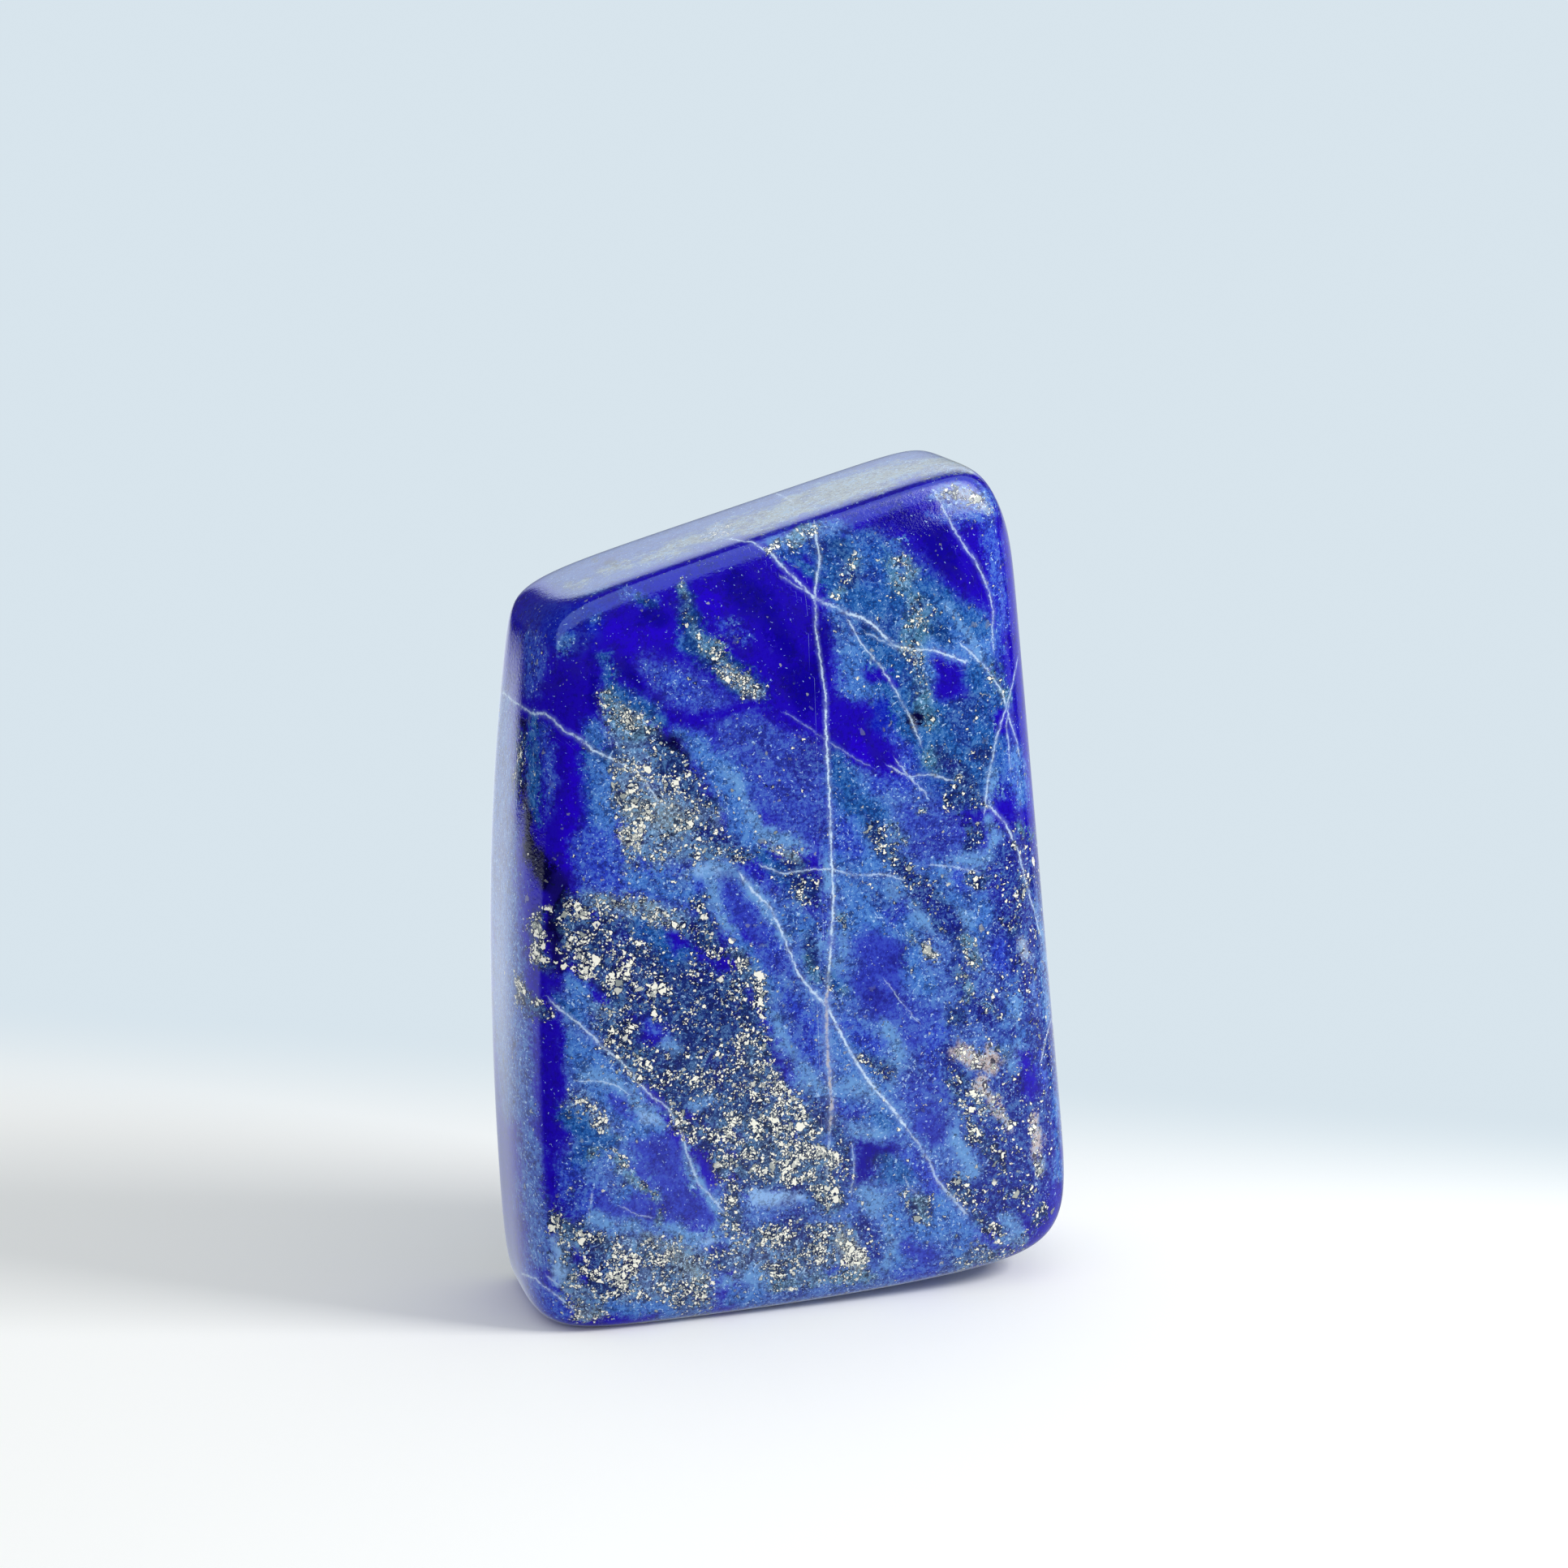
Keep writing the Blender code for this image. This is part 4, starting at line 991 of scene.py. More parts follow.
def make_stone(settings):
    """The fine polished stone, with its rock and veins stored on its points."""
    stone = rough_block("fine_lapis_stone")
    mesh = stone.data
    shares = values_of(mesh.vertices, "co")
    skin = ground_down(shares)
    mesh.vertices.foreach_set("co", skin.astype(np.float32).ravel())
    mesh.update()
    unwrap(mesh, shares)
    normals = values_of(mesh.vertex_normals, "vector")
    if (normals * (skin - skin.mean(axis=0))).sum(axis=1).mean() < 0:
        raise RuntimeError("the stone's faces look inward")
    for coat in (0, 1):
        paint = paint_of(skin, normals, coat)
        colour = np.column_stack((linear(paint[:, :3]) * settings.rock_brightness, np.ones(len(paint))))
        store(mesh, f"rock_colour_{coat + 1}", "FLOAT_COLOR", colour)
        store(mesh, f"flecks_{coat + 1}", "FLOAT_VECTOR", paint[:, 3:])
    corners = [tuple(polygon.vertices) for polygon in mesh.polygons]
    tree = BVHTree.FromPolygons([Vector(point) for point in skin], corners)
    for number, channel in enumerate(lay_veins(skin, normals, tree)):
        store(mesh, f"vein_{number + 1}", "FLOAT_VECTOR", channel)
    deselect_all()
    stone.select_set(True)
    bpy.context.view_layer.objects.active = stone
    bpy.ops.object.shade_smooth()
    return stone


# ---- the polished lapis ----

# A pattern in the rock: the size of its features, how many finer layers it has, how strong those are and how
# far they push each other about.
Pattern = namedtuple("Pattern", "size detail rough distort", defaults=(2.0, 0.55, 0.0))
COATS = Pattern(0.5 * MM, 3.0, 0.7)
CLOUDS = Pattern(2.2 * MM, 5.0, 0.7)
SPECKS = Pattern(0.55 * MM, 3.0, 0.85)
MOTES = Pattern(0.28 * MM, 2.0, 0.8)
DRIFTS = Pattern(5.0 * MM, 6.0, 0.75, 0.6)
FLAKES = Pattern(0.34 * MM, 1.5, 0.6, 0.8)
VEIN_WANDER = Pattern(0.8 * MM, 5.0, 0.75)
VEIN_BREAKS = Pattern(1.2 * MM, 4.0, 0.7)
CLUSTERS = Pattern(2.1 * MM)
RIPPLE = Pattern(0.4 * MM, 3.0, 0.6)

# How a value becomes a share: start below low, end above high, and a smooth change between them.
Rise = namedtuple("Rise", "low high start end", defaults=(0.0, 1.0))
COAT_BORDER = Rise(0.46, 0.54)
DRIFT_DEPTH = Rise(0.5, 0.38, 0, 0.5)
LIGHTER = Rise(0.5, 0.59, 0, 0.85)
DARKER = Rise(0.5, 0.4, 0, 0.72)
BREAK_DEPTH = Rise(0.34, 0.56, 0.1, 1.0)
WARM_WIDTH = Rise(0.17, 0.19)
CROWDING = Rise(0.36, 0.66, 0.15, 1.9)
GRAIN_BRIGHTNESS = Rise(0.0, 0.6)

# Straight-line changes: what a value is multiplied by and what is added.
TINT = 1.25, -0.06
DIM_BY_TINT = 0.8, 0.5
FLAKE_LEVEL = -0.2, 0.71
WANDER_MM = 0.9, -0.45
GRAIN_SHRINK = 0.24, 0.03

# How much each noise adds to the mottling, and where that starts.
CLOUD_PART, SPECK_PART, MOTE_PART, MOTTLE_START = 0.45, 0.5, 0.3, -0.125
FLAKE_EDGE, FLAKE_COVER = 0.05, 0.75
# Where a vein's line and its pale halo end, in half widths, and how much the halo covers.
VEIN_CORE, VEIN_EDGE, VEIN_HALO, HALO_COVER = 0.35, 1.5, 5.0, 0.16
# How finely the grains' outlines bend, and how soft their edges and the border of their share are.
GRAIN_BEND, GRAIN_EDGE, HELD_EDGE = 1.3, 0.035, 0.01
# Tiny grains for each fine one, how much the dark rims of painted shadow round the grains cover, and how
# metallic the grains are.
TINY_PART, RIM_COVER, METAL_PART = 0.6, 0.8, 0.1
STONE_IOR = 1.5


class Sockets:
    """Adds nodes to a tree and joins them, so that the recipes below read in one line a step."""

    def __init__(self, tree):
        self.tree = tree
        self.column = 0

    def put(self, socket, value):
        """Joins a socket to another one, or gives it a plain value."""
        if isinstance(value, bpy.types.NodeSocket):
            self.tree.links.new(value, socket)
        elif socket.type == "RGBA" and len(value) == 3:
            socket.default_value = (*value, 1)
        else:
            socket.default_value = value

    def add(self, kind, inputs=(), **fields):
        node = self.tree.nodes.new(kind)
        self.column += 1
        node.location = (180 * (self.column % 12), -220 * (self.column // 12))
        for name, value in fields.items():
            setattr(node, name, value)
        for key, value in dict(inputs).items():
            self.put(node.inputs[key], value)
        return node

    def math(self, operation, first, second=0.0, third=0.0, clamp=False):
        inputs = {0: first, 1: second, 2: third}
        return self.add("ShaderNodeMath", inputs, operation=operation, use_clamp=clamp).outputs[0]

    def vector_math(self, operation, inputs):
        return self.add("ShaderNodeVectorMath", inputs, operation=operation).outputs[0]

    def times(self, first, second):
        return self.math("MULTIPLY", first, second)

    def most(self, first, second):
        return self.math("MAXIMUM", first, second)

    def slope(self, value, factor, start, clamp=False):
        """The value times the factor, and the start added."""
        return self.math("MULTIPLY_ADD", value, factor, start, clamp)

    def rise(self, value, low, high, start=0.0, end=1.0):
        """start below low, end above high, and a smooth change between them."""
        inputs = {0: value, 1: low, 2: high, 3: start, 4: end}
        return self.add("ShaderNodeMapRange", inputs, interpolation_type="SMOOTHSTEP").outputs[0]

    def dot(self, first, second):
        inputs = {0: first, 1: tuple(second)}
        return self.add("ShaderNodeVectorMath", inputs, operation="DOT_PRODUCT").outputs["Value"]

    def scaled(self, vector, factor):
        vector = vector if isinstance(vector, bpy.types.NodeSocket) else tuple(vector)
        return self.vector_math("SCALE", {0: vector, 3: factor})

    def mix(self, share, first, second):
        """A colour: the first where the share is 0, the second where it is 1."""
        node = self.add("ShaderNodeMix", data_type="RGBA", blend_type="MIX", clamp_factor=True)
        for key, value in ((0, share), (6, first), (7, second)):
            self.put(node.inputs[key], value)
        return node.outputs[2]

    def noise(self, place, size, detail, rough, distort):
        inputs = {"Vector": place, "Scale": 1 / size, "Detail": detail}
        inputs |= {"Roughness": rough, "Distortion": distort}
        return self.add("ShaderNodeTexNoise", inputs).outputs["Fac"]

    def cells(self, place, scale, feature):
        inputs = {"Vector": place, "Scale": scale, "Randomness": 1.0}
        return self.add("ShaderNodeTexVoronoi", inputs, feature=feature).outputs

    def stored(self, name, kind):
        """What the mesh holds under a name."""
        return self.add("ShaderNodeAttribute", attribute_name=name).outputs[kind]

    def object_place(self):
        return self.add("ShaderNodeTexCoord").outputs["Object"]

    def glow(self, kind, colour, strength):
        return self.add(kind, {"Color": colour, "Strength": strength}).outputs[0]

    def either(self, share, first, second):
        return self.add("ShaderNodeMixShader", {0: share, 1: first, 2: second}).outputs[0]


def cleared(owner):
    """The empty node tree of a new material or world, ready for nodes."""
    owner.use_nodes = True
    owner.node_tree.nodes.clear()
    return Sockets(owner.node_tree)


def new_group(name, takes, gives):
    """An empty node group with named sockets: each is a name, a kind and, for what it takes, a value."""
    tree = bpy.data.node_groups.new(name, "ShaderNodeTree")
    for label, kind, value in takes:
        socket = tree.interface.new_socket(label, in_out="INPUT", socket_type=kind)
        if value is not None:
            socket.default_value = value
    for label, kind in gives:
        tree.interface.new_socket(label, in_out="OUTPUT", socket_type=kind)
    enter = tree.nodes.new("NodeGroupInput")
    leave = tree.nodes.new("NodeGroupOutput")
    return Sockets(tree), enter.outputs, leave.inputs


FLOAT, PLACE = "NodeSocketFloat", "NodeSocketVector"


def grain_group():
    """Angular grains of one size: where the rock holds them, how bright each is as a painted glint, and its
    dark rim of painted shadow.
    """
    takes = (("Place", PLACE, None), ("Size", FLOAT, 0.3 * MM), ("Share", FLOAT, 0.1))
    gives = (("Grain", FLOAT), ("Brightness", FLOAT), ("Rim", FLOAT))
    sockets, enter, leave = new_group("pyrite grains", takes, gives)
    scale = sockets.math("DIVIDE", 1.0, enter["Size"])
    inputs = {"Vector": enter["Place"], "Scale": sockets.times(scale, GRAIN_BEND), "Detail": 1.0}
    bend = sockets.add("ShaderNodeTexNoise", inputs).outputs["Color"]
    bend = sockets.vector_math("SUBTRACT", {0: bend, 1: (0.5, 0.5, 0.5)})
    bend = sockets.scaled(bend, enter["Size"])
    place = sockets.vector_math("ADD", {0: enter["Place"], 1: bend})
    cell = sockets.cells(place, scale, "F1")
    edges = sockets.cells(place, scale, "DISTANCE_TO_EDGE")["Distance"]
    # Each grain draws three numbers by lot: whether it is there, how far it shrinks and how bright it is,
    # which paints a glint on it.
    lots = sockets.add("ShaderNodeSeparateColor", {0: cell["Color"]}).outputs
    crowd = sockets.rise(sockets.noise(enter["Place"], *CLUSTERS), *CROWDING)
    share = sockets.times(enter["Share"], crowd)
    low, high = sockets.math("SUBTRACT", share, HELD_EDGE), sockets.math("ADD", share, HELD_EDGE)
    held = sockets.rise(lots["Red"], low, high, 1, 0)
    shrink = sockets.slope(lots["Green"], *GRAIN_SHRINK)
    grain = sockets.rise(edges, shrink, sockets.math("ADD", shrink, GRAIN_EDGE), 0, 1)
    sockets.put(leave["Grain"], sockets.times(grain, held))
    sockets.put(leave["Brightness"], sockets.rise(lots["Blue"], *GRAIN_BRIGHTNESS))
    sockets.put(leave["Rim"], held)
    return sockets.tree


def vein_group():
    """The line of one vein, from its signed distance, clearness and half width on the skin."""
    takes = (("Course", PLACE, None), ("Wander", FLOAT, 0.0), ("Break", FLOAT, 1.0))
    gives = (("Line", FLOAT), ("Halo", FLOAT), ("Warm", FLOAT))
    sockets, enter, leave = new_group("thin vein", takes, gives)
    course = sockets.add("ShaderNodeSeparateXYZ", {0: enter["Course"]}).outputs
    signed, clear, half_width = course["X"], course["Y"], course["Z"]
    gap = sockets.math("ABSOLUTE", sockets.math("ADD", signed, enter["Wander"]))
    inner = sockets.times(half_width, VEIN_CORE)
    outer = sockets.times(half_width, VEIN_EDGE)
    line = sockets.rise(gap, inner, outer, 1, 0)
    halo = sockets.rise(gap, 0.0, sockets.times(half_width, VEIN_HALO), 1, 0)
    sockets.put(leave["Line"], sockets.times(line, sockets.times(clear, enter["Break"])))
    sockets.put(leave["Halo"], sockets.times(halo, clear))
    sockets.put(leave["Warm"], sockets.times(line, sockets.rise(half_width, *WARM_WIDTH)))
    return sockets.tree


def mottled(sockets, place, settings):
    """The rock's colour with its lighter and darker mottling and pale flakes, and its shares of pyrite."""
    pick = sockets.rise(sockets.noise(place, *COATS), *COAT_BORDER)
    rock, flecks = (
        sockets.mix(pick, sockets.stored(f"{name}_1", kind), sockets.stored(f"{name}_2", kind))
        for name, kind in (("rock_colour", "Color"), ("flecks", "Vector"))
    )
    shares = sockets.add("ShaderNodeSeparateXYZ", {0: flecks}).outputs
    clouds, specks, motes = (sockets.noise(place, *pattern) for pattern in (CLOUDS, SPECKS, MOTES))
    mottle = sockets.slope(clouds, CLOUD_PART, sockets.times(specks, SPECK_PART))
    mottle = sockets.math("ADD", mottle, sockets.slope(motes, MOTE_PART, MOTTLE_START))
    tint = sockets.slope(shares["Z"], *TINT, clamp=True)
    drifts = sockets.rise(sockets.noise(place, *DRIFTS), *DRIFT_DEPTH)
    colour = sockets.mix(drifts, rock, settings.deep_rock)
    lift = sockets.times(sockets.rise(mottle, *LIGHTER), tint)
    colour = sockets.mix(lift, colour, settings.pale_rock)
    dim = sockets.times(sockets.rise(mottle, *DARKER), sockets.slope(tint, *DIM_BY_TINT, clamp=True))
    colour = sockets.mix(dim, colour, settings.dark_rock)
    level = sockets.slope(shares["Z"], *FLAKE_LEVEL)
    top = sockets.math("ADD", level, FLAKE_EDGE)
    flakes = sockets.rise(sockets.noise(place, *FLAKES), level, top, 0, FLAKE_COVER)
    return sockets.mix(flakes, colour, settings.dust), shares["X"], shares["Y"]


def veined(sockets, place, colour, settings):
    """The colour with the thin veins over it."""
    wander = sockets.slope(sockets.noise(place, *VEIN_WANDER), *WANDER_MM)
    breaks = sockets.rise(sockets.noise(place, *VEIN_BREAKS), *BREAK_DEPTH)
    group, line, halo, warm = vein_group(), 0.0, 0.0, 0.0
    for number in range(VEIN_CHANNELS):
        course = sockets.stored(f"vein_{number + 1}", "Vector")
        inputs = {"Course": course, "Wander": wander, "Break": breaks}
        vein = sockets.add("ShaderNodeGroup", inputs, node_tree=group).outputs
        line = sockets.most(line, vein["Line"])
        halo = sockets.most(halo, vein["Halo"])
        warm = sockets.most(warm, vein["Warm"])
    colour = sockets.mix(sockets.times(halo, HALO_COVER), colour, settings.vein)
    return sockets.mix(line, colour, sockets.mix(warm, settings.vein, settings.warm_vein))


def polished_lapis(settings):
    """The stone's finish: mottled rock, pale dust, pyrite grains with painted glints and dark rims of painted
    shadow, and thin pale veins.
    """
    material = bpy.data.materials.new("polished_lapis")
    sockets = cleared(material)
    place = sockets.object_place()
    colour, fine, coarse = mottled(sockets, place, settings)
    colour = veined(sockets, place, colour, settings)
    group, grain, bright, rims = grain_group(), 0.0, 0.0, 0.0
    sizes = settings.tiny_grain, settings.fine_grain, settings.coarse_grain
    for share, size in zip((sockets.times(fine, TINY_PART), fine, coarse), sizes):
        inputs = {"Place": place, "Share": share, "Size": size}
        grains = sockets.add("ShaderNodeGroup", inputs, node_tree=group).outputs
        bright = sockets.most(bright, sockets.times(grains["Grain"], grains["Brightness"]))
        grain = sockets.most(grain, grains["Grain"])
        rims = sockets.most(rims, grains["Rim"])
    # Painted shadow: a dark rim round each pyrite grain.
    colour = sockets.mix(sockets.times(rims, RIM_COVER), colour, settings.painted_grain_shadow)
    # Painted glint: each grain is drawn by lot between dull and bright pyrite, the bright ones standing for
    # grains that catch the light.
    colour = sockets.mix(grain, colour, sockets.mix(bright, settings.pyrite_dark, settings.pyrite))
    ripple = sockets.noise(place, *RIPPLE)
    bump = {"Height": ripple, "Distance": settings.ripple_height, "Strength": 1.0}
    duller = settings.pyrite_roughness - settings.roughness
    shader = sockets.add(
        "ShaderNodeBsdfPrincipled",
        {
            "Base Color": colour,
            "Metallic": sockets.times(grain, METAL_PART),
            "Roughness": sockets.slope(grain, duller, settings.roughness),
            "IOR": STONE_IOR,
            "Specular IOR Level": settings.sheen_level,
            "Normal": sockets.add("ShaderNodeBump", bump).outputs[0],
        },
    )
    sockets.add("ShaderNodeOutputMaterial", {"Surface": shader.outputs[0]})
    return material


# ---- the stage ----

FLOOR_RADIUS = 3.0
KEY_AIMS_AT = (0, 0, 50 * MM)
# The light on the floor ends just behind the stone, nearer on its right.
FLOOR_LIGHT_WAY = (0.64, 1.0, 0.0)
FLOOR_LIGHT_ENDS = Rise(0.035, 0.11)
# What the polish mirrors of the floor. In front of the stone it dims outward. Left of and behind the stone it
# is bright, from a slanting front edge out to the edges of a dark card, and less so to the right.
FRONT_DIMS = 0.045, 0.13
LEFT_OF_STONE = Rise(-0.03, -0.015, 1, 0)
BEHIND_STONE = Rise(0.0, 0.02)
LIT_SLANT, LIT_FROM = -0.24, Rise(-0.01, 0.015)
LIT_LEFT_END = Rise(-0.36, -0.33)
CARD_RIGHT_EDGE = Rise(-0.2, -0.17)
CARD_BACK_EDGE = Rise(0.28, 0.33, 1, 0)
DIMMER_RIGHT = Rise(0.02, 0.2, 1, 0.5)
BRIGHTENS = 0.06, 0.17, 0.75
FLOOR_LEAST = 0.015

# The bright panel behind the stone as the polish mirrors it: its turn right of the front, its rise, its half
# width in degrees, how bright it is, and how much of its width is a soft edge. It stops short at its left
# end, and is dimmer low down.
Panel = namedtuple("Panel", "turn rise wide brightness soft")
BEHIND = Panel(165, 20, 32, 1.95, 0.45)
BEHIND_LEFT_END = Rise(-0.045, 0.0)
BEHIND_LOW_PART = Rise(0.2, 0.4, 0.62, 1.0)

# The long panel overhead, as the polish mirrors it: where its front and back edges stand, as steps back for
# each step up, how soft they are, and how bright it is.
Overhead = namedtuple("Overhead", "front front_soft back back_soft brightness")
OVERHEAD = Overhead(-0.58, 0.05, 0.3, 0.06, 2.3)
LEAST_UP = 0.001

# The window is cut off by three straight edges, below, to the left and to the right: the way across each
# edge, and how the window's light changes along it. Everything mirrored from low down is dimmer.
WINDOW_BRIGHTNESS = 5.5
WINDOW_EDGES = (
    ((0.51, 0.0, 1.0), Rise(0.74, 0.8, 0, WINDOW_BRIGHTNESS)),
    ((1.0, 0.21, 0.0), Rise(-0.04, 0.06)),
    ((1.0, 1.6, 0.0), Rise(-0.2, 0.3, 1, 0)),
)
LOW_LIGHT = Rise(0.02, 0.27, 0.3, 1.0)


def new_area(name, turn, rise, distance, side, brightness, target):
    """A square soft light at a turn right of the front and a rise, aimed at the target."""
    way = Vector(outward(turn, rise))
    deselect_all()
    bpy.ops.object.light_add(type="AREA", location=Vector(target) + way * distance)
    light = bpy.context.object
    light.name = light.data.name = name
    light.rotation_euler = way.to_track_quat("Z", "Y").to_euler()
    light.data.shape = "SQUARE"
    light.data.size = side
    light.data.energy = brightness * math.pi * side * side
    light.visible_camera = light.visible_glossy = False
    return light


def mirrored_floor(sockets, place, away, settings):
    """How bright the polish mirrors each place of the floor."""
    parts = sockets.add("ShaderNodeSeparateXYZ", {0: place}).outputs
    across, back = parts["X"], parts["Y"]
    ends = settings.floor_mirrored_near, settings.floor_mirrored_front
    near = sockets.rise(sockets.times(back, -1.0), *FRONT_DIMS, *ends)
    lit = sockets.rise(sockets.slope(across, LIT_SLANT, back), *LIT_FROM)
    lit = sockets.times(lit, sockets.rise(across, *LIT_LEFT_END))
    past_card = sockets.most(sockets.rise(across, *CARD_RIGHT_EDGE), sockets.rise(back, *CARD_BACK_EDGE))
    lit = sockets.times(lit, past_card)
    lit = sockets.times(lit, sockets.rise(across, *DIMMER_RIGHT))
    brightness = sockets.rise(away, *BRIGHTENS, settings.floor_mirrored_behind)
    beside = sockets.most(sockets.rise(across, *LEFT_OF_STONE), sockets.rise(back, *BEHIND_STONE))
    near = sockets.times(near, sockets.math("SUBTRACT", 1.0, beside))
    return sockets.most(sockets.slope(lit, sockets.times(brightness, beside), near), FLOOR_LEAST)


def make_floor(settings):
    """The pale floor, which turns into the backdrop further off, and which the polish mirrors in patches."""
    deselect_all()
    bpy.ops.mesh.primitive_circle_add(vertices=96, radius=FLOOR_RADIUS, fill_type="NGON", location=(0, 0, 0))
    floor = bpy.context.object
    floor.name = floor.data.name = "studio_floor"
    material = bpy.data.materials.new("studio_floor")
    sockets = cleared(material)
    place = sockets.object_place()
    away = sockets.add("ShaderNodeVectorMath", {0: place}, operation="LENGTH").outputs["Value"]
    far = sockets.rise(away, settings.floor_fades_from, settings.floor_fades_to)
    far = sockets.most(far, sockets.rise(sockets.dot(place, FLOOR_LIGHT_WAY), *FLOOR_LIGHT_ENDS))
    paper = sockets.add("ShaderNodeBsdfDiffuse", {"Color": settings.floor_colour}).outputs[0]
    backdrop = sockets.glow("ShaderNodeEmission", settings.backdrop_colour, 1.0)
    seen = sockets.either(far, paper, backdrop)
    brightness = mirrored_floor(sockets, place, away, settings)
    mirrored = sockets.glow("ShaderNodeEmission", settings.floor_tint, brightness)
    glossy = sockets.add("ShaderNodeLightPath").outputs["Is Glossy Ray"]
    surface = sockets.either(glossy, seen, mirrored)
    sockets.add("ShaderNodeOutputMaterial", {"Surface": surface})
    floor.data.materials.append(material)
    return floor


def mirrored_panels(sockets, way):
    """How bright the polish mirrors each of the three panels, by the way it looks."""
    parts = sockets.add("ShaderNodeSeparateXYZ", {0: way}).outputs
    low = sockets.rise(parts["Z"], *LOW_LIGHT)
    lined = sockets.dot(way, outward(BEHIND.turn, BEHIND.rise))
    edge, core = (math.cos(math.radians(BEHIND.wide * part)) for part in (1, 1 - BEHIND.soft))
    behind_stone = sockets.rise(lined, edge, core, 0, BEHIND.brightness)
    behind_stone = sockets.times(behind_stone, sockets.rise(parts["X"], *BEHIND_LEFT_END))
    behind_stone = sockets.times(behind_stone, sockets.rise(parts["Z"], *BEHIND_LOW_PART))
    back = sockets.math("DIVIDE", parts["Y"], sockets.most(parts["Z"], LEAST_UP))
    from_front = sockets.rise(back, OVERHEAD.front, OVERHEAD.front + OVERHEAD.front_soft)
    to_back = sockets.rise(back, OVERHEAD.back, OVERHEAD.back + OVERHEAD.back_soft, 1, 0)
    overhead = sockets.times(sockets.times(from_front, to_back), OVERHEAD.brightness)
    window = 1.0
    for across, change in WINDOW_EDGES:
        window = sockets.times(window, sockets.rise(sockets.dot(way, across), *change))
    return [sockets.times(light, low) for light in (behind_stone, overhead, window)]


def make_surroundings(settings):
    """A pale room for the camera and for soft light, and for the polish a dark one with bright panels."""
    world = bpy.data.worlds.new("studio")
    bpy.context.scene.world = world
    sockets = cleared(world)
    way = sockets.add("ShaderNodeTexCoord").outputs["Generated"]
    soft = sockets.glow("ShaderNodeBackground", settings.soft_colour, settings.soft_brightness)
    seen = sockets.glow("ShaderNodeBackground", settings.backdrop_colour, 1.0)
    room = sockets.scaled(settings.room_tint, settings.dark_room)
    tints = settings.behind_tint, settings.sky_tint, settings.room_tint
    for light, tint in zip(mirrored_panels(sockets, way), tints):
        room = sockets.vector_math("ADD", {0: room, 1: sockets.scaled(tint, light)})
    mirrored = sockets.glow("ShaderNodeBackground", room, 1.0)
    path = sockets.add("ShaderNodeLightPath").outputs
    inner = sockets.either(path["Is Glossy Ray"], soft, mirrored)
    outer = sockets.either(path["Is Camera Ray"], inner, seen)
    sockets.add("ShaderNodeOutputWorld", {"Surface": outer})


def make_camera():
    """The camera at the photo's viewing angle."""
    deselect_all()
    bpy.ops.object.camera_add(location=camera_place())
    camera = bpy.context.object
    camera.name = camera.data.name = "photo_camera"
    camera.rotation_euler = Matrix(camera_axes()).transposed().to_euler()
    camera.data.angle = VIEW_FIELD
    camera.data.clip_start = 10 * MM
    camera.data.dof.use_dof = False
    bpy.context.scene.camera = camera


# ---- the add-on ----


def shade(name, value, text):
    return bpy.props.FloatVectorProperty(
        name=name, subtype="COLOR", size=3, min=0, soft_max=1, default=value, description=text
    )


def amount(name, value, text, subtype="NONE", unit="NONE"):
    return bpy.props.FloatProperty(
        name=name, default=value, description=text, subtype=subtype, unit=unit, precision=5
    )


def share_of(name, value, text):
    return amount(name, value, text, "FACTOR")


def length(name, value, text):
    return amount(name, value, text, "DISTANCE", "LENGTH")


class LapisStoneSettings(bpy.types.PropertyGroup):
    """What the stone's finish is made of."""

    rock_brightness: amount("Rock brightness", 1.08, "How light the whole rock is under the studio light")
    pale_rock: shade("Pale rock", (0.15, 0.35, 0.62), "The lighter mottling")
    dark_rock: shade("Dark rock", (0.004, 0.003, 0.055), "The darker mottling")
    deep_rock: shade("Deep rock", (0.012, 0.006, 0.23), "The deeper blue drifts in the rock")
    # Painted shadow: the dark rim round each pyrite grain.
    painted_grain_shadow: shade("Black rock", (0.003, 0.006, 0.035), "The rims round pyrite")
    dust: shade("Pale dust", (0.42, 0.6, 0.84), "The small pale specks in the rock")
    vein: shade("Vein", (0.57, 0.71, 0.88), "The thin veins")
    warm_vein: shade("Wide vein", (0.5, 0.46, 0.5), "The widest vein, which is warmer")
    # Pyrite with a painted glint: bright pyrite is painted for grains that catch the light, dull pyrite for
    # grains that don't.
    pyrite: shade("Bright pyrite", (0.95, 0.92, 0.8), "Grains that catch the light")
    pyrite_dark: shade("Dull pyrite", (0.26, 0.29, 0.28), "Grains that don't")
    tiny_grain: length("Tiny grain", 0.24 * MM, "Size of the smallest pyrite grains")
    fine_grain: length("Fine grain", 0.4 * MM, "Size of the fine pyrite grains")
    coarse_grain: length("Coarse grain", 0.85 * MM, "Size of the coarse pyrite grains")
    roughness: share_of("Polish", 0.07, "Roughness of the polished rock")
    pyrite_roughness: share_of("Pyrite polish", 0.45, "Roughness of the pyrite")
    ripple_height: length("Ripple height", 0.018 * MM, "Depth of the polish's fine ripple")
    sheen_level: share_of("Sheen", 0.5, "How strongly the polish mirrors the room")


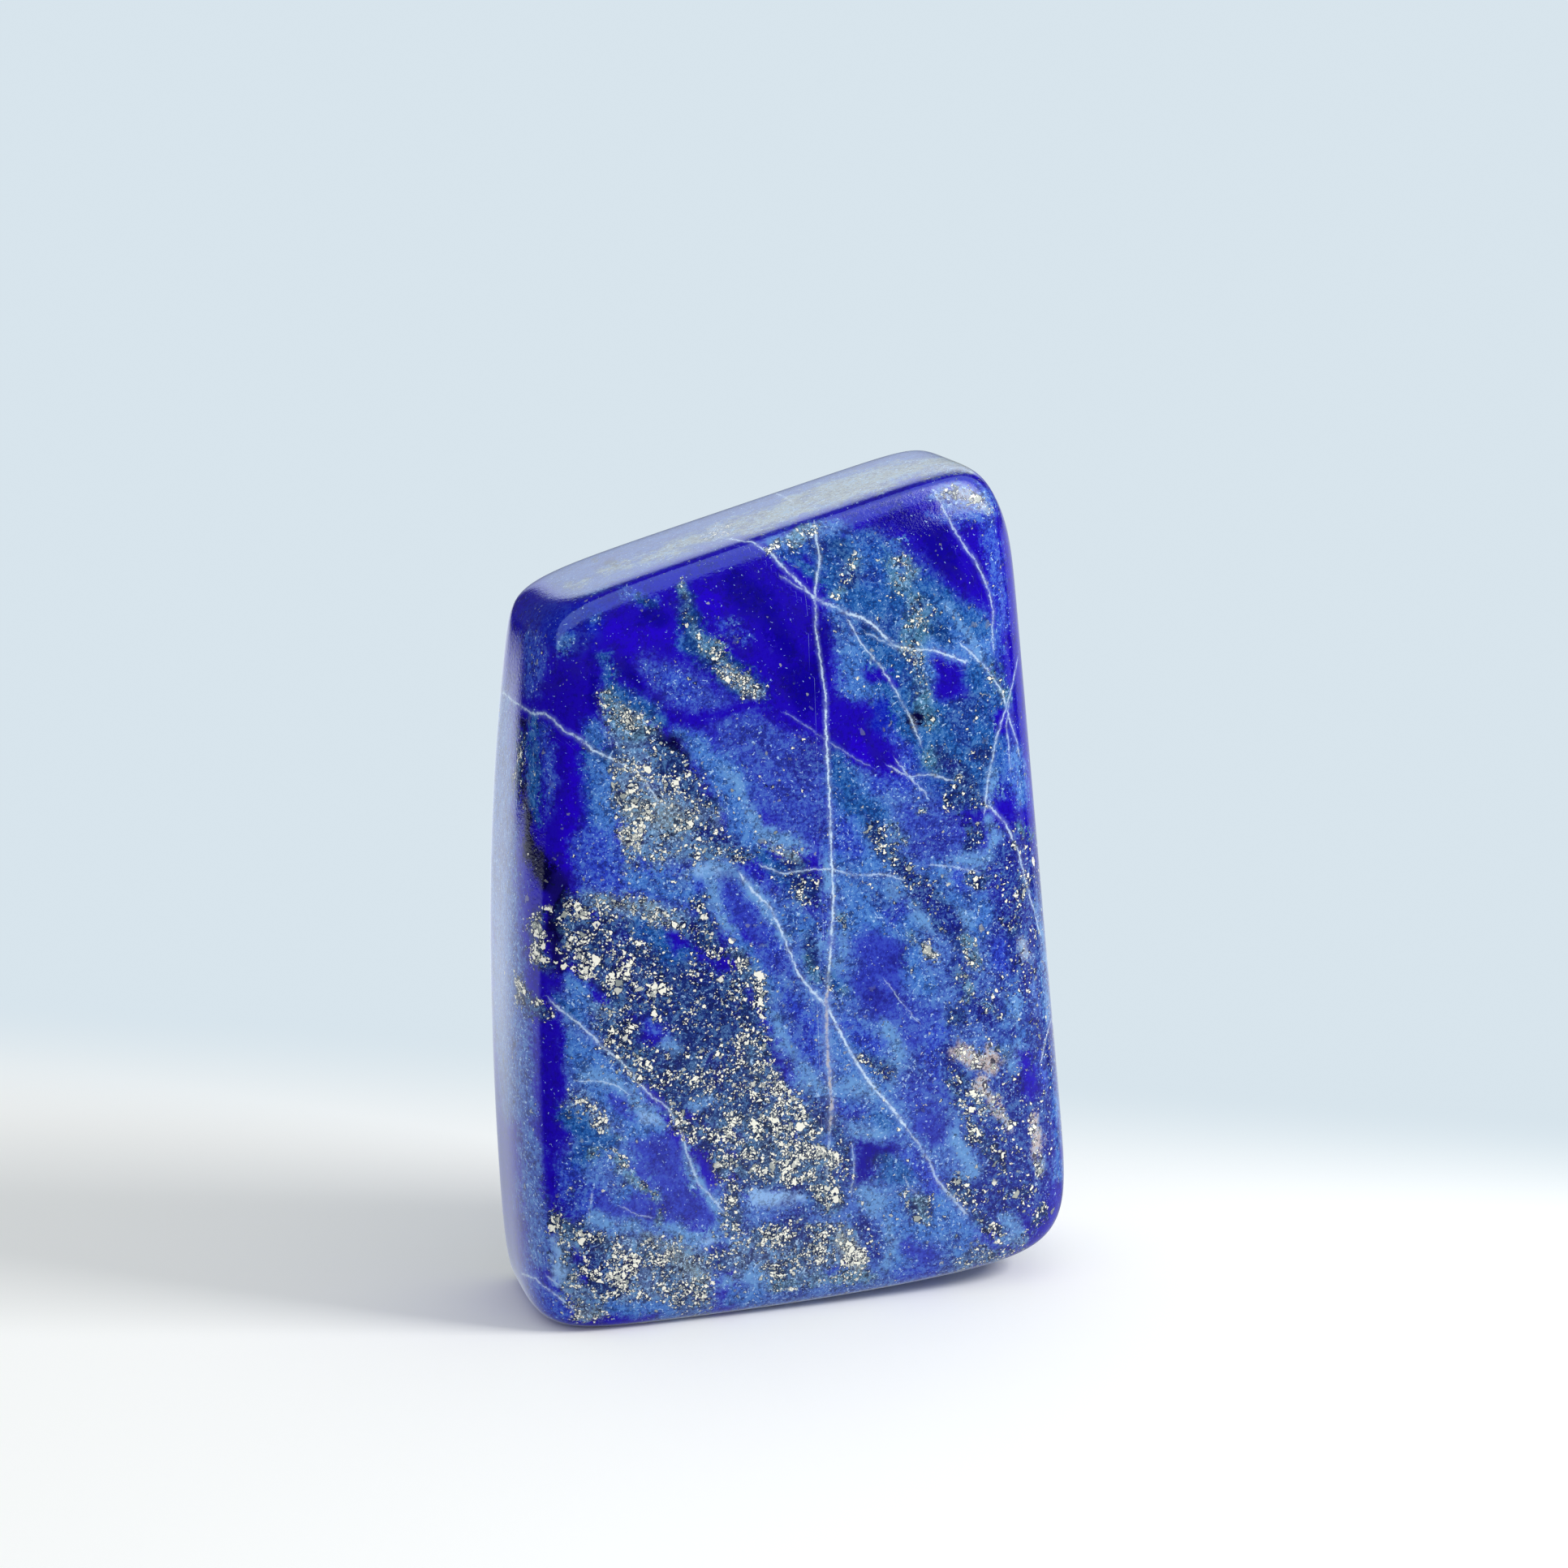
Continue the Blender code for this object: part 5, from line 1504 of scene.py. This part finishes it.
class LapisStageSettings(bpy.types.PropertyGroup):
    """The floor, the backdrop and the lights."""

    floor_colour: shade("Floor", (0.97, 0.965, 0.94), "The pale floor near the stone")
    backdrop_colour: shade("Backdrop", (0.685, 0.78, 0.845), "What shows behind the floor")
    soft_colour: shade("Soft light", (0.93, 0.97, 1.0), "Light from all round")
    room_tint: shade("Room, mirrored", (0.93, 0.96, 1.0), "What the polish mirrors of the room")
    sky_tint: shade("Overhead, mirrored", (0.45, 0.68, 1.0), "What the polish mirrors of the panel overhead")
    behind_tint: shade("Behind, mirrored", (0.72, 0.84, 1.0), "What the polish mirrors of the panel behind")
    floor_tint: shade("Floor, mirrored", (0.82, 0.9, 0.97), "What the polish mirrors of the floor")
    floor_fades_from: length("Floor fades from", 0.25, "Where the floor starts to turn into backdrop")
    floor_fades_to: length("Floor fades to", 0.7, "Where the floor is all backdrop")
    floor_mirrored_near: amount("Floor mirrored near", 0.5, "Brightness of the near floor in the polish")
    floor_mirrored_front: amount("Floor mirrored in front", 0.02, "Brightness of the floor further in front")
    floor_mirrored_behind: amount("Floor mirrored behind", 1.3, "Brightness of the floor behind")
    soft_brightness: amount("Soft light", 0.72, "Brightness of the light from all round")
    dark_room: amount("Dark room", 0.06, "What the polish mirrors where no panel stands")
    key_turn: amount("Key turn", 57.0, "Degrees from the front to the right")
    key_rise: amount("Key rise", 35.0, "Degrees above the floor")
    key_distance: length("Key distance", 0.6, "From the stone to the key light")
    key_side: length("Key side", 0.2, "Side of the square key light")
    key_brightness: amount("Key brightness", 20.0, "Brightness of the key light's surface")


class LAPIS_OT_stone(bpy.types.Operator):
    """Grind the rough block down to the stone and give it its rock, veins and polish"""

    bl_idname = "lapis.stone"
    bl_label = "Make the stone"

    def execute(self, context):
        settings = context.scene.lapis_stone
        stone = make_stone(settings)
        stone.data.materials.append(polished_lapis(settings))
        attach(stone, "root")
        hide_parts("lapis_stone")
        return {"FINISHED"}


class LAPIS_OT_stage(bpy.types.Operator):
    """Lay the floor, light the room and set up the camera"""

    bl_idname = "lapis.stage"
    bl_label = "Set the stage"

    def execute(self, context):
        settings = context.scene.lapis_stage
        make_floor(settings)
        make_surroundings(settings)
        key = settings.key_turn, settings.key_rise, settings.key_distance, settings.key_side
        new_area("key_light", *key, settings.key_brightness, KEY_AIMS_AT)
        make_camera()
        context.scene.view_settings.view_transform = "Standard"
        return {"FINISHED"}


class LAPIS_PT_panel(bpy.types.Panel):
    """The stone's makers and their settings"""

    bl_idname = "LAPIS_PT_panel"
    bl_label = "Lapis freeform"
    bl_space_type = "VIEW_3D"
    bl_region_type = "UI"
    bl_category = "Lapis"

    def draw(self, context):
        for title, settings, maker in (
            ("Stone", context.scene.lapis_stone, LAPIS_OT_stone),
            ("Stage", context.scene.lapis_stage, LAPIS_OT_stage),
        ):
            box = self.layout.box()
            box.label(text=title)
            for name in settings.__annotations__:
                box.prop(settings, name)
            box.operator(maker.bl_idname)


CLASSES = (LapisStoneSettings, LapisStageSettings, LAPIS_OT_stone, LAPIS_OT_stage, LAPIS_PT_panel)


def register():
    for cls in CLASSES:
        bpy.utils.register_class(cls)
    bpy.types.Scene.lapis_stone = bpy.props.PointerProperty(type=LapisStoneSettings)
    bpy.types.Scene.lapis_stage = bpy.props.PointerProperty(type=LapisStageSettings)


def unregister():
    del bpy.types.Scene.lapis_stage
    del bpy.types.Scene.lapis_stone
    for cls in reversed(CLASSES):
        bpy.utils.unregister_class(cls)


def main():
    register()
    bpy.ops.lapis.stone()
    bpy.ops.lapis.stage()


if __name__ == "__main__":
    main()
